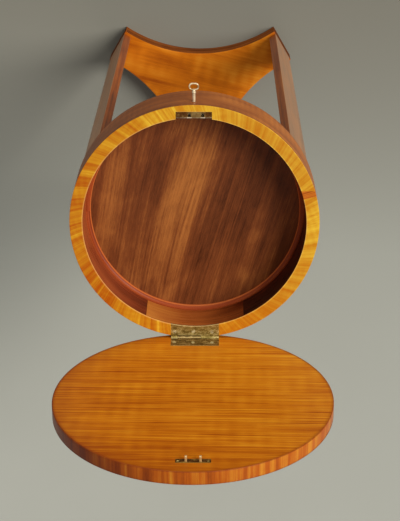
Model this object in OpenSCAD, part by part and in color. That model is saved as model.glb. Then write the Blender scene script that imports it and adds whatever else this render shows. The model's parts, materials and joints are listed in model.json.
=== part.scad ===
// Round work table: a shallow lidded drum on three plank legs and a concave-sided plinth.
// Millimetres. X runs across the front, Y from the lock at the front to the hinge at the back,
// Z up. The origin is on the floor, on the axis of the drum. The lid is drawn standing open.

/* [Drum] */
// Outside diameter of the drum, veneer included
drum_d = 364; // [330:1:420]
// Height of the drum from its underside to its rim
drum_h = 72; // [64:1:110]
// Thickness of the drum wall, veneer and lining included
wall_t = 19; // [17.5:0.5:24]
// Thickness of the bottom board
bottom_t = 11; // [8:0.5:14]
// How far the bottom board is let into the wall
bottom_let_in = 3; // [2:0.5:3.5]
// Height of the bead round the floor of the drum
bead_h = 6; // [4:0.5:8]
// Width of that bead
bead_w = 7.5; // [6:0.5:12]

/* [Veneers and bandings] */
// Thickness of the face veneers on the drum, the lid and the plinth
veneer_t = 1; // [0.8:0.1:1.4]
// Thickness of the banding on the rim of the drum
banding_t = 1.2; // [0.8:0.1:1.6]
// Thickness of the banding round the edge of the lid
edge_t = 1.2; // [0.8:0.1:2]
// Thickness of the mahogany edging of the plinth
edging_t = 2; // [1:0.5:4]
// Angle of the middle of the darker let-in piece of the rim banding
patch_angle = 196.5; // [150:0.1:240]
// Length of that let-in piece along the rim
patch_len = 14; // [8:1:40]

/* [Hinge backing block] */
// Length of the block let into the wall behind the hinge
block_len = 146; // [95:1:160]
// How far the block is set to the right of the hinge
block_shift = 0; // [-15:1:15]
// Thickness of the block
block_t = 4; // [3:0.5:6]

/* [Lid] */
// How far the lid stands out over the drum all round
lid_overhang = 13; // [10:0.5:18]
// Thickness of the lid
lid_t = 19; // [17:0.5:24]
// Gap between the rim and the closed lid
lid_gap = 0.4; // [0.2:0.1:0.8]
// Gap left between the drum and the open lid, which stops on it
stop_gap = 0.3; // [0.2:0.05:0.5]
// Size of the small bevel along the edges of the lid
arris = 0.6; // [0.3:0.1:1]

/* [Legs] */
// Visible length of the legs, between drum and plinth
leg_len = 604; // [450:1:700]
// Width of a leg
leg_w = 53; // [44:1:60]
// Thickness of a leg
leg_t = 13.5; // [12:0.5:15]
// How far the outer face of a leg is set in from the side of the drum
leg_inset = 4; // [2:0.5:5]
// Thickness of the tenons
tenon_t = 6; // [5:0.5:7]
// Width of the tenons
tenon_w = 36; // [24:1:40]
// Length of the tenons
tenon_len = 22; // [14:1:26]

/* [Plinth] */
// Thickness of the plinth
plinth_t = 38; // [30:1:50]
// How much wider a corner of the plinth is than its leg, on each side
corner_margin = 5; // [2:0.5:8]
// Distance from the axis to the middle of each hollowed side
plinth_waist = 74; // [60:1:95]
// Height of the edging's lower edge above the floor
edging_lift = 0.4; // [0.2:0.1:1]

/* [Butt hinge] */
// Length of the hinge along its pin
hinge_w = 72; // [58:1:84]
// Radius of the knuckles
knuckle_r = 2.6; // [2.4:0.1:3.2]
// Radius of the pin
pin_r = 1.25; // [1:0.05:1.4]
// Thickness of the leaves
leaf_t = 1.8; // [1.4:0.1:2.2]
// Length of the lid's leaf from the pin
lid_leaf_len = 26.5; // [19:0.5:28]
// Share of the hinge taken by the drum's knuckle on the left, seen from the front
knuckle_left = 0.38; // [0.3:0.01:0.45]
// Share taken by the drum's knuckle on the right
knuckle_right = 0.14; // [0.1:0.01:0.2]
// Screws in each leaf
leaf_screws = 3; // [2:1:4]
// Distance of the outer screws from the ends of the hinge
leaf_screw_end = 7.8; // [6:0.2:12]
// How far the screws sit to the right of the hinge's middle, seen from the front
leaf_screw_shift = 2.5; // [-2.5:0.1:2.5]

/* [Box lock] */
// Length of the lock's brass strip in the rim
lock_w = 51; // [50:1:60]
// Width of that strip
lock_strip_w = 9; // [8.6:0.2:10]
// Thickness of that strip
lock_strip_t = 1.8; // [1.4:0.1:2]
// Height of the lock
lock_h = 29; // [28:0.5:32]
// Thickness of the lock's back plate, sides and cap
lock_plate_t = 1.2; // [1:0.1:1.4]
// Width of the lock's box between its fixing ears
lock_box_w = 43; // [42.6:0.2:44]
// Depth of the key's axis below the rim
key_drop = 19; // [18.6:0.1:19.4]
// Distance between the two slots
slot_pitch = 18.8; // [18.4:0.1:19.2]
// How far the slots, and the staples that enter them, sit to the left of the middle
slot_shift = 3.2; // [-3.5:0.1:3.5]
// Travel of the bolt
bolt_throw = 5; // [4.6:0.1:5.2]

/* [Link plate on the lid] */
// Length of the link plate
link_w = 46; // [42:1:54]
// Width of the link plate
link_d = 10; // [8:0.5:12]
// Thickness of the link plate
link_t = 1.6; // [1.2:0.1:2]
// Width of a staple, across the front
staple_w = 3; // [2.6:0.1:3.2]
// Depth of a staple
staple_d = 4.6; // [4.2:0.1:4.8]
// Height of a staple below the closed lid
staple_h = 7.6; // [7.4:0.1:8]

/* [Key] */
// Outside radius of the key's pipe
pipe_r = 2.2; // [2:0.1:2.4]
// Width of the bow
bow_w = 15; // [12:0.5:18]
// Length of the bow along the key
bow_len = 11; // [9:0.5:12]
// How far the key stands out of the drum
key_out = 27; // [24:0.5:34]
// Reach of the bit from the key's axis
bit_reach = 7.2; // [6.8:0.1:7.4]

/* [Hidden] */
$fn = 120;
e = 1;
fit_gap = 0.1;
turn_gap = 0.05;
slide_gap = 0.3;
screw_gap = 0.03;

drum_r = drum_d / 2;
drum_ri = drum_r - wall_t;
drum_z = plinth_t + leg_len;
rim_z = drum_z + drum_h;
floor_z = drum_z + bottom_t;
wall_top = rim_z - banding_t;

lid_r = drum_r + lid_overhang;
lid_z = rim_z + lid_gap;
hinge_y = drum_r + stop_gap - lid_gap / 2;
hinge_z = rim_z + lid_gap / 2;

leg_r = drum_r - leg_inset;
leg_mid = leg_r - leg_t / 2;
leg_angles = [90, 210, 330];
corner_w = leg_w + 2 * corner_margin;

knuckle_gap = 0.3;
scoop_r = knuckle_r + 0.3;
leaf_screw_span = hinge_w - 2 * leaf_screw_end;
leaf_head_r = 3.1;
leaf_shank_r = 1.6;
leaf_screw_len = 12;
leaf_screw_xs = [for (i = [0 : leaf_screws - 1])
    leaf_screw_span * (i / (leaf_screws - 1) - 0.5) + leaf_screw_shift];
drum_screw_y = (hinge_y - scoop_r + drum_ri) / 2 + 1.5;
lid_screw_y = hinge_y - lid_leaf_len / 2 - 1.5;

lock_y = -drum_ri;
strip_mid_y = lock_y - lock_strip_w / 2;
cap_y = lock_y - lock_strip_w + lock_plate_t;
box_deep = lock_strip_w - 2 * lock_plate_t;
slots_x = -slot_shift;
slot_w = staple_w + 1.2;
slot_d = staple_d + 1;
key_z = rim_z - key_drop;
ear_w = (lock_w - lock_box_w) / 2;
bit_t = 2;

eye_h = 3;
eye_d = staple_d - 1.6;
eye_z = rim_z - 4.9;
finger_h = eye_h - 0.8;
finger_tip = staple_w / 2 + 0.5;
finger_root = staple_w / 2 + bolt_throw + 0.4;
upright_w = 2.4;
bolt_top = rim_z - staple_h - 0.5;
bolt_bottom = key_z + 5;
talon_top = key_z + bit_reach + 0.5;
talon_w = bit_reach + bit_t + 0.4;
bolt_right = slots_x + slot_pitch / 2 + finger_root + upright_w;
bolt_left = -slot_pitch / 2 - 4.6;
bolt_deep = box_deep - 2 * slide_gap;
bolt_y = strip_mid_y + bolt_deep / 2;
spring_w = 3;

pipe_bore_r = 1.25;
post_r = pipe_bore_r - turn_gap;
key_in_y = lock_y - lock_plate_t - 0.5;
bow_y = -drum_r - key_out;
pipe_bore_len = 12;
bit_deep = box_deep - 1.3;
keyhole_r = pipe_r + 0.6;
keyhole_slot = bit_t + 1;

// Plain shapes

// A ring standing on z = 0
module ring(r_out, r_in, h) {
    difference() {
        cylinder(r = r_out, h = h);
        translate([0, 0, -e]) cylinder(r = r_in, h = h + 2 * e);
    }
}

// A wedge from the axis outwards, between two angles less than 180 degrees apart
module wedge(from, to, h) {
    reach = 2 * drum_r;
    middle = (from + to) / 2;
    linear_extrude(h)
        polygon([[0, 0], reach * [cos(from), sin(from)], reach * [cos(middle), sin(middle)],
                 reach * [cos(to), sin(to)]]);
}

// A box given by its middle in X and by its low and high Y and Z
module slab(width, y, z, x = 0) {
    translate([x - width / 2, min(y[0], y[1]), min(z[0], z[1])])
        cube([width, abs(y[1] - y[0]), abs(z[1] - z[0])]);
}

// A round bar along Y, from y[0] to y[1]
module bar_y(r, y, z, x = 0) {
    translate([x, min(y[0], y[1]), z]) rotate([-90, 0, 0]) cylinder(r = r, h = abs(y[1] - y[0]));
}

// A round bar along X, from x[0] to x[1]
module bar_x(r, x, y, z) {
    translate([x[0], y, z]) rotate([0, 90, 0]) cylinder(r = r, h = x[1] - x[0]);
}

// A countersunk slotted screw, its head's face at z = 0 and its point down
module screw(head_r, shank_r, len, gap = 0) {
    head_deep = head_r - shank_r;
    slot = head_r * 0.22;
    difference() {
        union() {
            translate([0, 0, -head_deep]) cylinder(r1 = shank_r + gap, r2 = head_r + gap, h = head_deep);
            translate([0, 0, -len]) cylinder(r = shank_r + gap, h = len - head_deep + 0.01);
        }
        if (gap == 0)
            translate([-head_r - e, -slot / 2, -head_deep * 0.4]) cube([2 * head_r + 2 * e, slot, e]);
    }
}

// The hole for that screw, open above
module screw_hole(head_r, shank_r, len) {
    screw(head_r, shank_r, len + 0.3, screw_gap);
    cylinder(r = head_r + screw_gap, h = e);
}

// Carries what is drawn on the closed lid to the open lid
module open_lid() {
    translate([0, hinge_y, hinge_z]) rotate([-90, 0, 0]) translate([0, -hinge_y, -hinge_z])
        children();
}

// The drum

module block_sector(gap = 0) {
    turn = asin(block_len / 2 / drum_ri);
    middle = 90 - asin(block_shift / drum_ri);
    translate([0, 0, floor_z])
        intersection() {
            ring(drum_ri + block_t + gap, drum_ri - gap, wall_top - floor_z);
            wedge(middle - turn, middle + turn, wall_top - floor_z);
        }
}

// Space for the hinge's knuckles, its drum leaf and the screws of that leaf
module hinge_space_drum() {
    bar_x(scoop_r, [-hinge_w / 2 - knuckle_gap, hinge_w / 2 + knuckle_gap], hinge_y, hinge_z);
    slab(hinge_w, [drum_ri - wall_t, hinge_y], [rim_z - leaf_t, rim_z + e]);
    drum_leaf_screw_places() screw_hole(leaf_head_r, leaf_shank_r, leaf_screw_len);
}

module drum_leaf_screw_places() {
    for (x = leaf_screw_xs) translate([x, drum_screw_y, rim_z]) children();
}

module lid_leaf_screw_places() {
    for (x = leaf_screw_xs) translate([x, lid_screw_y, lid_z]) mirror([0, 0, 1]) children();
}

// Space for the lock, open towards the inside of the drum and at the rim
module lock_space() {
    slab(lock_box_w + 2 * fit_gap, [lock_y + wall_t, lock_y - lock_strip_w - fit_gap],
         [rim_z - lock_h - fit_gap, rim_z + e]);
    slab(lock_w + 2 * fit_gap, [lock_y + wall_t, lock_y - lock_plate_t - fit_gap],
         [rim_z - lock_h - fit_gap, rim_z + e]);
    slab(lock_w + 2 * fit_gap, [lock_y + wall_t, lock_y - lock_strip_w - fit_gap],
         [rim_z - lock_strip_t - fit_gap, rim_z + e]);
    lock_screw_places() screw_hole(1.6, 0.8, 9);
}

module lock_screw_places() {
    for (side = [-1, 1], drop = [8, lock_h - 4])
        translate([side * (lock_w - ear_w) / 2, lock_y, rim_z - drop]) rotate([-90, 0, 0]) children();
}

// Space for the key, from the lock to the outside of the drum
module keyhole_space() {
    bar_y(keyhole_r, [-drum_r - e, lock_y - lock_strip_w + e], key_z);
    slab(keyhole_slot, [-drum_r - e, lock_y - lock_strip_w + e], [key_z - bit_reach - 0.6, key_z]);
}

module drum_mortises() {
    for (a = leg_angles) rotate(a) leg_tenon(drum_z - e, drum_z + tenon_len + 0.5, fit_gap);
}

module drum_wall() color("saddlebrown") {
    difference() {
        translate([0, 0, drum_z]) ring(drum_r - veneer_t, drum_ri + veneer_t, drum_h - banding_t);
        translate([0, 0, drum_z - e]) cylinder(r = drum_ri + bottom_let_in, h = bottom_t + e);
        block_sector();
        hinge_space_drum();
        lock_space();
        keyhole_space();
        drum_mortises();
    }
}

module drum_side_veneer() color("peru") {
    difference() {
        translate([0, 0, drum_z]) ring(drum_r, drum_r - veneer_t, drum_h - banding_t);
        hinge_space_drum();
        keyhole_space();
    }
}

module drum_lining() color("sienna") {
    difference() {
        translate([0, 0, floor_z]) ring(drum_ri + veneer_t, drum_ri, wall_top - floor_z);
        block_sector(0.5);
        hinge_space_drum();
        lock_space();
    }
}

module drum_bottom_board() color("sienna") {
    difference() {
        translate([0, 0, drum_z]) cylinder(r = drum_ri + bottom_let_in - fit_gap, h = bottom_t);
        drum_mortises();
    }
}

module floor_bead() color("indianred") {
    translate([0, 0, floor_z])
        rotate_extrude()
            difference() {
                union() {
                    translate([drum_ri - bead_w + bead_h, 0]) square([bead_w - bead_h, bead_h]);
                    translate([drum_ri - bead_w + bead_h, 0]) circle(r = bead_h);
                }
                translate([drum_ri - bead_w - e, -bead_h - e]) square([bead_w + bead_h + e, bead_h + e]);
                translate([drum_ri, -e]) square([2 * bead_h, bead_h + 2 * e]);
            }
}

module hinge_backing_block() color("chocolate") {
    difference() {
        block_sector();
        hinge_space_drum();
        drum_mortises();
    }
}

module patch_wedge(h) {
    turn = patch_len / drum_r * 90 / PI;
    wedge(patch_angle - turn, patch_angle + turn, h);
}

module rim_banding() color("goldenrod") {
    difference() {
        translate([0, 0, wall_top]) ring(drum_r, drum_ri, banding_t);
        translate([0, 0, wall_top - e]) patch_wedge(banding_t + 2 * e);
        hinge_space_drum();
        lock_space();
    }
}

module rim_banding_patch() color("darkgoldenrod") {
    translate([0, 0, wall_top])
        intersection() {
            ring(drum_r, drum_ri, banding_t);
            patch_wedge(banding_t);
        }
}

// The lid, drawn closed and carried open

// Space in the closed lid for the hinge's knuckles, the lid's leaf and its screws
module hinge_space_lid() {
    bar_x(scoop_r, [-hinge_w / 2 - knuckle_gap, hinge_w / 2 + knuckle_gap], hinge_y, hinge_z);
    slab(hinge_w, [hinge_y - lid_leaf_len, hinge_y], [lid_z - e, lid_z + leaf_t]);
    lid_leaf_screw_places() screw_hole(leaf_head_r, leaf_shank_r, leaf_screw_len);
}

// Space in the closed lid for the link plate and its screws
module link_space() {
    slab(link_w, [strip_mid_y - link_d / 2, strip_mid_y + link_d / 2], [lid_z - e, lid_z + link_t],
         slots_x);
    link_screw_places() screw_hole(1.9, 0.95, 10);
}

module link_screw_places() {
    for (side = [-1, 1])
        translate([slots_x + side * (link_w / 2 - 3.6), strip_mid_y, lid_z])
            mirror([0, 0, 1]) children();
}

module lid_core() color("burlywood") {
    open_lid() difference() {
        translate([0, 0, lid_z + veneer_t]) cylinder(r = lid_r - edge_t, h = lid_t - 2 * veneer_t);
        hinge_space_lid();
        link_space();
    }
}

module lid_inner_veneer() color("orange") {
    open_lid() difference() {
        translate([0, 0, lid_z]) cylinder(r = lid_r - edge_t, h = veneer_t);
        hinge_space_lid();
        link_space();
    }
}

module lid_top_veneer() color("orange") {
    open_lid() translate([0, 0, lid_z + lid_t - veneer_t]) cylinder(r = lid_r - edge_t, h = veneer_t);
}

module lid_edge_banding() color("peru") {
    open_lid() translate([0, 0, lid_z])
        rotate_extrude()
            polygon([[lid_r - edge_t, 0], [lid_r - arris, 0], [lid_r, arris], [lid_r, lid_t - arris],
                     [lid_r - arris, lid_t], [lid_r - edge_t, lid_t]]);
}

// The legs

// A leg's tenon, at the radius of the leg along +X
module leg_tenon(z0, z1, gap = 0) {
    translate([leg_mid - tenon_t / 2 - gap, -tenon_w / 2 - gap, z0])
        cube([tenon_t + 2 * gap, tenon_w + 2 * gap, z1 - z0]);
}

// A leg along +X
module leg() {
    bevel = 0.5;
    x = leg_r;
    y = leg_w / 2;
    translate([0, 0, plinth_t])
        linear_extrude(leg_len)
            polygon([[x - leg_t + bevel, -y], [x - bevel, -y], [x, -y + bevel], [x, y - bevel],
                     [x - bevel, y], [x - leg_t + bevel, y], [x - leg_t, y - bevel],
                     [x - leg_t, -y + bevel]]);
    leg_tenon(plinth_t - tenon_len, plinth_t + e);
    leg_tenon(drum_z - e, drum_z + tenon_len);
}

module leg_back() color("brown") rotate(leg_angles[0]) leg();
module leg_left() color("brown") rotate(leg_angles[1]) leg();
module leg_right() color("brown") rotate(leg_angles[2]) leg();

// The plinth

// Middle and radius of the arc that hollows each side. It passes through the waist and through
// the near ends of the two corners, seen along a side's own direction.
corner_along = leg_r * cos(60) + corner_w / 2 * sin(60);
corner_across = leg_r * sin(60) - corner_w / 2 * cos(60);
side_rise = corner_along - plinth_waist;
side_r = (pow(side_rise, 2) + pow(corner_across, 2)) / (2 * side_rise);
side_mid = plinth_waist + side_r;

// The plinth's solid, its corners drawn back by inset_corner and its sides by inset_side
module plinth_solid(z0, z1, inset_corner, inset_side) {
    x = leg_r - inset_corner;
    y = corner_w / 2;
    difference() {
        translate([0, 0, z0])
            linear_extrude(z1 - z0)
                polygon([for (a = leg_angles, side = [-1, 1])
                    [x * cos(a) - side * y * sin(a), x * sin(a) + side * y * cos(a)]]);
        for (a = leg_angles)
            rotate(a + 180)
                translate([side_mid, 0, z0 - e])
                    cylinder(r = side_r + inset_side, h = z1 - z0 + 2 * e);
    }
}

module plinth_mortises() {
    for (a = leg_angles) rotate(a) leg_tenon(plinth_t - tenon_len - 0.5, plinth_t + e, fit_gap);
}

module plinth_core() color("tan") {
    difference() {
        plinth_solid(0, plinth_t - veneer_t, edging_t, edging_t);
        plinth_mortises();
    }
}

module plinth_top_veneer() color("orange") {
    difference() {
        plinth_solid(plinth_t - veneer_t, plinth_t, 0, 0);
        plinth_mortises();
    }
}

// The edging of the hollowed side that faces away from the leg at this angle
module plinth_edging(away_from) {
    intersection() {
        plinth_solid(edging_lift, plinth_t - veneer_t, edging_t, 0);
        rotate(away_from + 180)
            translate([side_mid, 0, 0]) cylinder(r = side_r + edging_t, h = plinth_t);
    }
}

module plinth_edging_front() color("maroon") plinth_edging(leg_angles[0]);
module plinth_edging_right() color("maroon") plinth_edging(leg_angles[1]);
module plinth_edging_left() color("maroon") plinth_edging(leg_angles[2]);

module plinth_corner_edgings() color("maroon") {
    intersection() {
        plinth_solid(edging_lift, plinth_t - veneer_t, 0, 0);
        for (a = leg_angles)
            rotate(a)
                translate([leg_r - edging_t, -corner_w, 0])
                    cube([2 * edging_t, 2 * corner_w, plinth_t]);
    }
}

// The butt hinge

// The stretches of the pin inside the drum's and the lid's knuckles
knuckle_drum_left = [-hinge_w / 2, -hinge_w / 2 + knuckle_left * hinge_w];
knuckle_drum_right = [hinge_w / 2 - knuckle_right * hinge_w, hinge_w / 2];
knuckle_lid = [knuckle_drum_left[1] + knuckle_gap, knuckle_drum_right[0] - knuckle_gap];

module pin_hole() {
    bar_x(pin_r + turn_gap, [-hinge_w / 2 - e, hinge_w / 2 + e], hinge_y, hinge_z);
}

module hinge_leaf_drum() color("goldenrod") {
    difference() {
        union() {
            bar_x(knuckle_r, knuckle_drum_left, hinge_y, hinge_z);
            bar_x(knuckle_r, knuckle_drum_right, hinge_y, hinge_z);
            slab(hinge_w, [drum_ri * 0.9, hinge_y - scoop_r], [rim_z - leaf_t, rim_z]);
            for (k = [knuckle_drum_left, knuckle_drum_right])
                slab(k[1] - k[0], [hinge_y - scoop_r - e, hinge_y], [rim_z - leaf_t, rim_z],
                     (k[0] + k[1]) / 2);
        }
        translate([0, 0, rim_z - leaf_t - e]) cylinder(r = drum_ri, h = leaf_t + 2 * e);
        pin_hole();
        drum_leaf_screw_places() screw_hole(leaf_head_r, leaf_shank_r, leaf_screw_len);
    }
}

module hinge_leaf_lid() color("goldenrod") {
    open_lid() difference() {
        union() {
            bar_x(knuckle_r, knuckle_lid, hinge_y, hinge_z);
            slab(hinge_w, [hinge_y - lid_leaf_len, hinge_y - scoop_r], [lid_z, lid_z + leaf_t]);
            slab(knuckle_lid[1] - knuckle_lid[0], [hinge_y - scoop_r - e, hinge_y],
                 [lid_z, lid_z + leaf_t], (knuckle_lid[0] + knuckle_lid[1]) / 2);
        }
        pin_hole();
        lid_leaf_screw_places() screw_hole(leaf_head_r, leaf_shank_r, leaf_screw_len);
    }
}

module hinge_pin() color("darkkhaki") {
    bar_x(pin_r, [-hinge_w / 2, hinge_w / 2], hinge_y, hinge_z);
}

module hinge_screws_drum() color("khaki") {
    drum_leaf_screw_places() screw(leaf_head_r, leaf_shank_r, leaf_screw_len);
}

module hinge_screws_lid() color("khaki") {
    open_lid() lid_leaf_screw_places() screw(leaf_head_r, leaf_shank_r, leaf_screw_len);
}

// The box lock

module slot_places() {
    for (side = [-1, 1]) translate([slots_x + side * slot_pitch / 2, strip_mid_y, 0]) children();
}

module cap_screw_places() {
    for (side = [-1, 1])
        translate([side * (lock_box_w / 2 - 6.5), cap_y - lock_plate_t, rim_z - lock_h + 6])
            rotate([90, 0, 0]) children();
}

module lock_case() color("darkgoldenrod") {
    box_top = rim_z - lock_strip_t;
    box_foot = rim_z - lock_h;
    difference() {
        union() {
            slab(lock_w, [lock_y, lock_y - lock_strip_w], [box_top, rim_z]);
            slab(lock_w, [lock_y, lock_y - lock_plate_t], [box_foot, rim_z]);
            slab(lock_box_w, [lock_y, cap_y], [box_foot, rim_z]);
        }
        slab(lock_box_w - 2 * lock_plate_t, [lock_y - lock_plate_t, cap_y - e],
             [box_foot + lock_plate_t, box_top]);
        slot_places()
            translate([-slot_w / 2, -slot_d / 2, box_top - e])
                cube([slot_w, slot_d, lock_strip_t + 2 * e]);
        bar_y(post_r, [lock_y + e, lock_y - lock_plate_t - e], key_z);
        lock_screw_places() screw_hole(1.6, 0.8, 9);
    }
    difference() {
        cap_screw_places() translate([0, 0, -lock_plate_t - box_deep]) cylinder(r = 2, h = box_deep);
        cap_screw_places() screw_hole(1.5, 0.75, 5);
    }
}

module lock_cap() color("goldenrod") {
    difference() {
        slab(lock_box_w, [cap_y, cap_y - lock_plate_t], [rim_z - lock_h, rim_z - lock_strip_t]);
        bar_y(keyhole_r, [cap_y + e, cap_y - lock_plate_t - e], key_z);
        slab(keyhole_slot, [cap_y + e, cap_y - lock_plate_t - e], [key_z - bit_reach - 0.6, key_z]);
        cap_screw_places() screw_hole(1.5, 0.75, 5);
    }
}

module lock_drill_pin() color("slategray") {
    bar_y(post_r, [lock_y, key_in_y - pipe_bore_len + 1], key_z);
}

module lock_bolt() color("gold") {
    difference() {
        slab(bolt_right - bolt_left, [bolt_y, bolt_y - bolt_deep], [bolt_bottom, bolt_top],
             (bolt_right + bolt_left) / 2);
        slab(talon_w, [bolt_y + e, bolt_y - bolt_deep - e], [bolt_bottom - e, talon_top],
             bolt_throw / 2);
    }
    for (side = [-1, 1]) {
        root = slots_x + side * slot_pitch / 2 + finger_root;
        slab(upright_w, [bolt_y, bolt_y - bolt_deep], [bolt_top - 0.01, eye_z + finger_h / 2],
             root + upright_w / 2);
        slab(finger_root - finger_tip + 0.01,
             [strip_mid_y - eye_d / 2 + 0.4, strip_mid_y + eye_d / 2 - 0.4],
             [eye_z - finger_h / 2, eye_z + finger_h / 2],
             root - (finger_root - finger_tip) / 2);
    }
}

// A curved steel strip that stands on the bolt and bears on the underside of the lock's top strip
module lock_bolt_spring() color("lightsteelblue") {
    strip = 0.35;
    foot = 2.5;
    rise = rim_z - lock_strip_t - slide_gap - bolt_top;
    x = slots_x + slot_pitch / 2 - slot_w / 2 - slide_gap - rise;
    translate([x, strip_mid_y + spring_w / 2, bolt_top])
        rotate([90, 0, 0])
            linear_extrude(spring_w) {
                intersection() {
                    difference() {
                        circle(r = rise);
                        circle(r = rise - strip);
                    }
                    square(rise);
                }
                translate([rise - foot, 0]) square([foot, strip]);
            }
}

module lock_cap_screws() color("khaki") cap_screw_places() screw(1.5, 0.75, 5);
module lock_screws() color("khaki") lock_screw_places() screw(1.6, 0.8, 9);

// The link plate on the lid

module link_plate() color("darkgoldenrod") {
    open_lid() difference() {
        slab(link_w, [strip_mid_y - link_d / 2, strip_mid_y + link_d / 2], [lid_z, lid_z + link_t],
             slots_x);
        link_screw_places() screw_hole(1.9, 0.95, 10);
        slot_places()
            translate([-staple_w / 2, -staple_d / 2, lid_z - e])
                cube([staple_w, staple_d, link_t + 2 * e]);
    }
}

module link_staples() color("palegoldenrod") {
    open_lid() slot_places() difference() {
        translate([-staple_w / 2, -staple_d / 2, rim_z - staple_h])
            cube([staple_w, staple_d, lid_z + link_t - rim_z + staple_h]);
        translate([-staple_w, -eye_d / 2, eye_z - eye_h / 2]) cube([2 * staple_w, eye_d, eye_h]);
    }
}

module link_screws() color("khaki") open_lid() link_screw_places() screw(1.9, 0.95, 10);

// The key, in the lock and turned level

module key() color("wheat") {
    bow_r = bow_len / 2;
    bow_half = bow_w / 2 - bow_r;
    ring_w = 2.3;
    collar_y = bow_y + bow_len + 1.6;
    difference() {
        union() {
            bar_y(pipe_r, [key_in_y, bow_y + bow_len - ring_w / 2], key_z);
            bar_y(pipe_r + 0.7, [collar_y, collar_y - 2.4], key_z);
            slab(bit_reach, [key_in_y - 0.2, key_in_y - 0.2 - bit_deep],
                 [key_z - bit_t / 2, key_z + bit_t / 2], bit_reach / 2);
        }
        bar_y(pipe_bore_r, [key_in_y + e, key_in_y - pipe_bore_len], key_z);
    }
    difference() {
        bow_shape(bow_r, bow_half, 2.4);
        bow_shape(bow_r - ring_w, bow_half, 4);
    }
}

// A level slab with round ends at the key's bow
module bow_shape(r, half, thick) {
    translate([0, bow_y + bow_len / 2, key_z - thick / 2]) {
        for (side = [-1, 1]) translate([side * half, 0, 0]) cylinder(r = r, h = thick);
        translate([-half, -r, 0]) cube([2 * half, 2 * r, thick]);
    }
}

drum_wall();
drum_side_veneer();
drum_lining();
drum_bottom_board();
floor_bead();
hinge_backing_block();
rim_banding();
rim_banding_patch();
lid_core();
lid_inner_veneer();
lid_top_veneer();
lid_edge_banding();
leg_back();
leg_left();
leg_right();
plinth_core();
plinth_top_veneer();
plinth_edging_front();
plinth_edging_left();
plinth_edging_right();
plinth_corner_edgings();
hinge_leaf_drum();
hinge_leaf_lid();
hinge_pin();
hinge_screws_drum();
hinge_screws_lid();
lock_case();
lock_cap();
lock_drill_pin();
lock_bolt();
lock_bolt_spring();
lock_cap_screws();
lock_screws();
link_plate();
link_staples();
link_screws();
key();
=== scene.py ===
"""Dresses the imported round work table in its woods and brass, and lights and frames it.

Sizes in the classes are millimetres in the part's own frame, the same numbers as in its source.
A mesh is written in metres. What belongs to the lid is worked out on the closed lid and then
turned open, as the source does it.
"""

from __future__ import annotations

import json
import logging
import math
from dataclasses import dataclass
from enum import Enum
from typing import Optional, Sequence

import bpy
import numpy as np
from mathutils import Matrix, Vector

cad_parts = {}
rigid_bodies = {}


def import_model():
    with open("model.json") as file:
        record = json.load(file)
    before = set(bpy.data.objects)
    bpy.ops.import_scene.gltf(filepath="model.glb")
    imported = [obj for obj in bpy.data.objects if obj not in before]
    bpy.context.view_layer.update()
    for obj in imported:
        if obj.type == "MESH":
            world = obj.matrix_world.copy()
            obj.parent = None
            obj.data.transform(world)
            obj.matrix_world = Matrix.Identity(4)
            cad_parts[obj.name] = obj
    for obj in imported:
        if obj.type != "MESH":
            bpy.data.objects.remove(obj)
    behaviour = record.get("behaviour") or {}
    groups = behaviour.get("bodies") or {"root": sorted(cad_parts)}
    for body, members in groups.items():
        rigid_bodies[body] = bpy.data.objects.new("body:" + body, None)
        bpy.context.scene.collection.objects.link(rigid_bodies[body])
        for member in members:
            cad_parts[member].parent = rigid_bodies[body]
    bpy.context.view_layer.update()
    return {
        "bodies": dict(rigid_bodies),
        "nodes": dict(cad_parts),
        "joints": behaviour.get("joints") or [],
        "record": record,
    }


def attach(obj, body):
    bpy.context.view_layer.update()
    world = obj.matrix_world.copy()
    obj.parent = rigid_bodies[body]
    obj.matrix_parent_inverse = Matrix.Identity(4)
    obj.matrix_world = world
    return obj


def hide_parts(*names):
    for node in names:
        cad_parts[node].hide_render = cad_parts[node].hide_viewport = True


log = logging.getLogger("work_table")

Colour = tuple[float, float, float]
Socket = bpy.types.NodeSocket
Material = bpy.types.Material
Piece = bpy.types.Object

GRAIN = "grain"
# The mesh attribute of wear and painted light: rubbed wear and painted highlights above nought, dirt and
# painted shade below it
WEAR_AND_LIGHT = "wear_and_light"

# Angles in radians: an edge that stays sharp, the step at a notch, the joint beside the hinge block
SHARP = math.radians(38)
NOTCH_GAP = 1e-4
BLOCK_GAP = 0.001

# Keeps a divisor above zero
TINY = 1e-9

# One cell of the metals' finest specks, in mm
SPECKLE = 1.4

# How the grid of a disc closes: round each row, and its first and last row to one point
DISC = {"wrap": True, "pole_first": True, "pole_last": True}


class Body(Enum):
    """The bodies that pieces ride on."""

    STAND = "stand"
    LID = "lid"
    KEY = "key"


class Slot(Enum):
    """The record's material slots that pieces take."""

    MAHOGANY = "mahogany"
    SATINWOOD = "satinwood"
    BRASS = "brass"
    KEY = "key_brass"


class Coords(Enum):
    """Where a finish reads its pattern: the piece's own grain map, or its place in the frame."""

    GRAIN_MAP = "grain map"
    PLACE = "place in the frame"


def screen(red: float, green: float, blue: float) -> Colour:
    """Turns a screen colour into the linear colour that a shader takes.

    Args:
        red, green, blue: the channels, 0 to 255.

    Returns:
        The linear colour, 0 to 1 a channel.
    """
    level = np.array([red, green, blue], float) / 255.0
    linear = np.where(level <= 0.04045, level / 12.92, ((level + 0.055) / 1.055) ** 2.4)
    return float(linear[0]), float(linear[1]), float(linear[2])


# Near-white colour of the painted glints on the lock strip's edge
PAINTED_GLINT = screen(238, 224, 198)


# Surfaces


def spread(breaks: Sequence[float], step: float) -> np.ndarray:
    """Values from the first break to the last that hold every break, none further apart than step.

    Args:
        breaks: rising values to hold.
        step: the longest stretch between neighbours.

    Returns:
        The values, rising.
    """
    parts = [
        np.linspace(a, b, max(1, math.ceil((b - a) / step)), endpoint=False)
        for a, b in zip(breaks[:-1], breaks[1:])
    ]
    return np.concatenate([*parts, breaks[-1:]])


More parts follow.
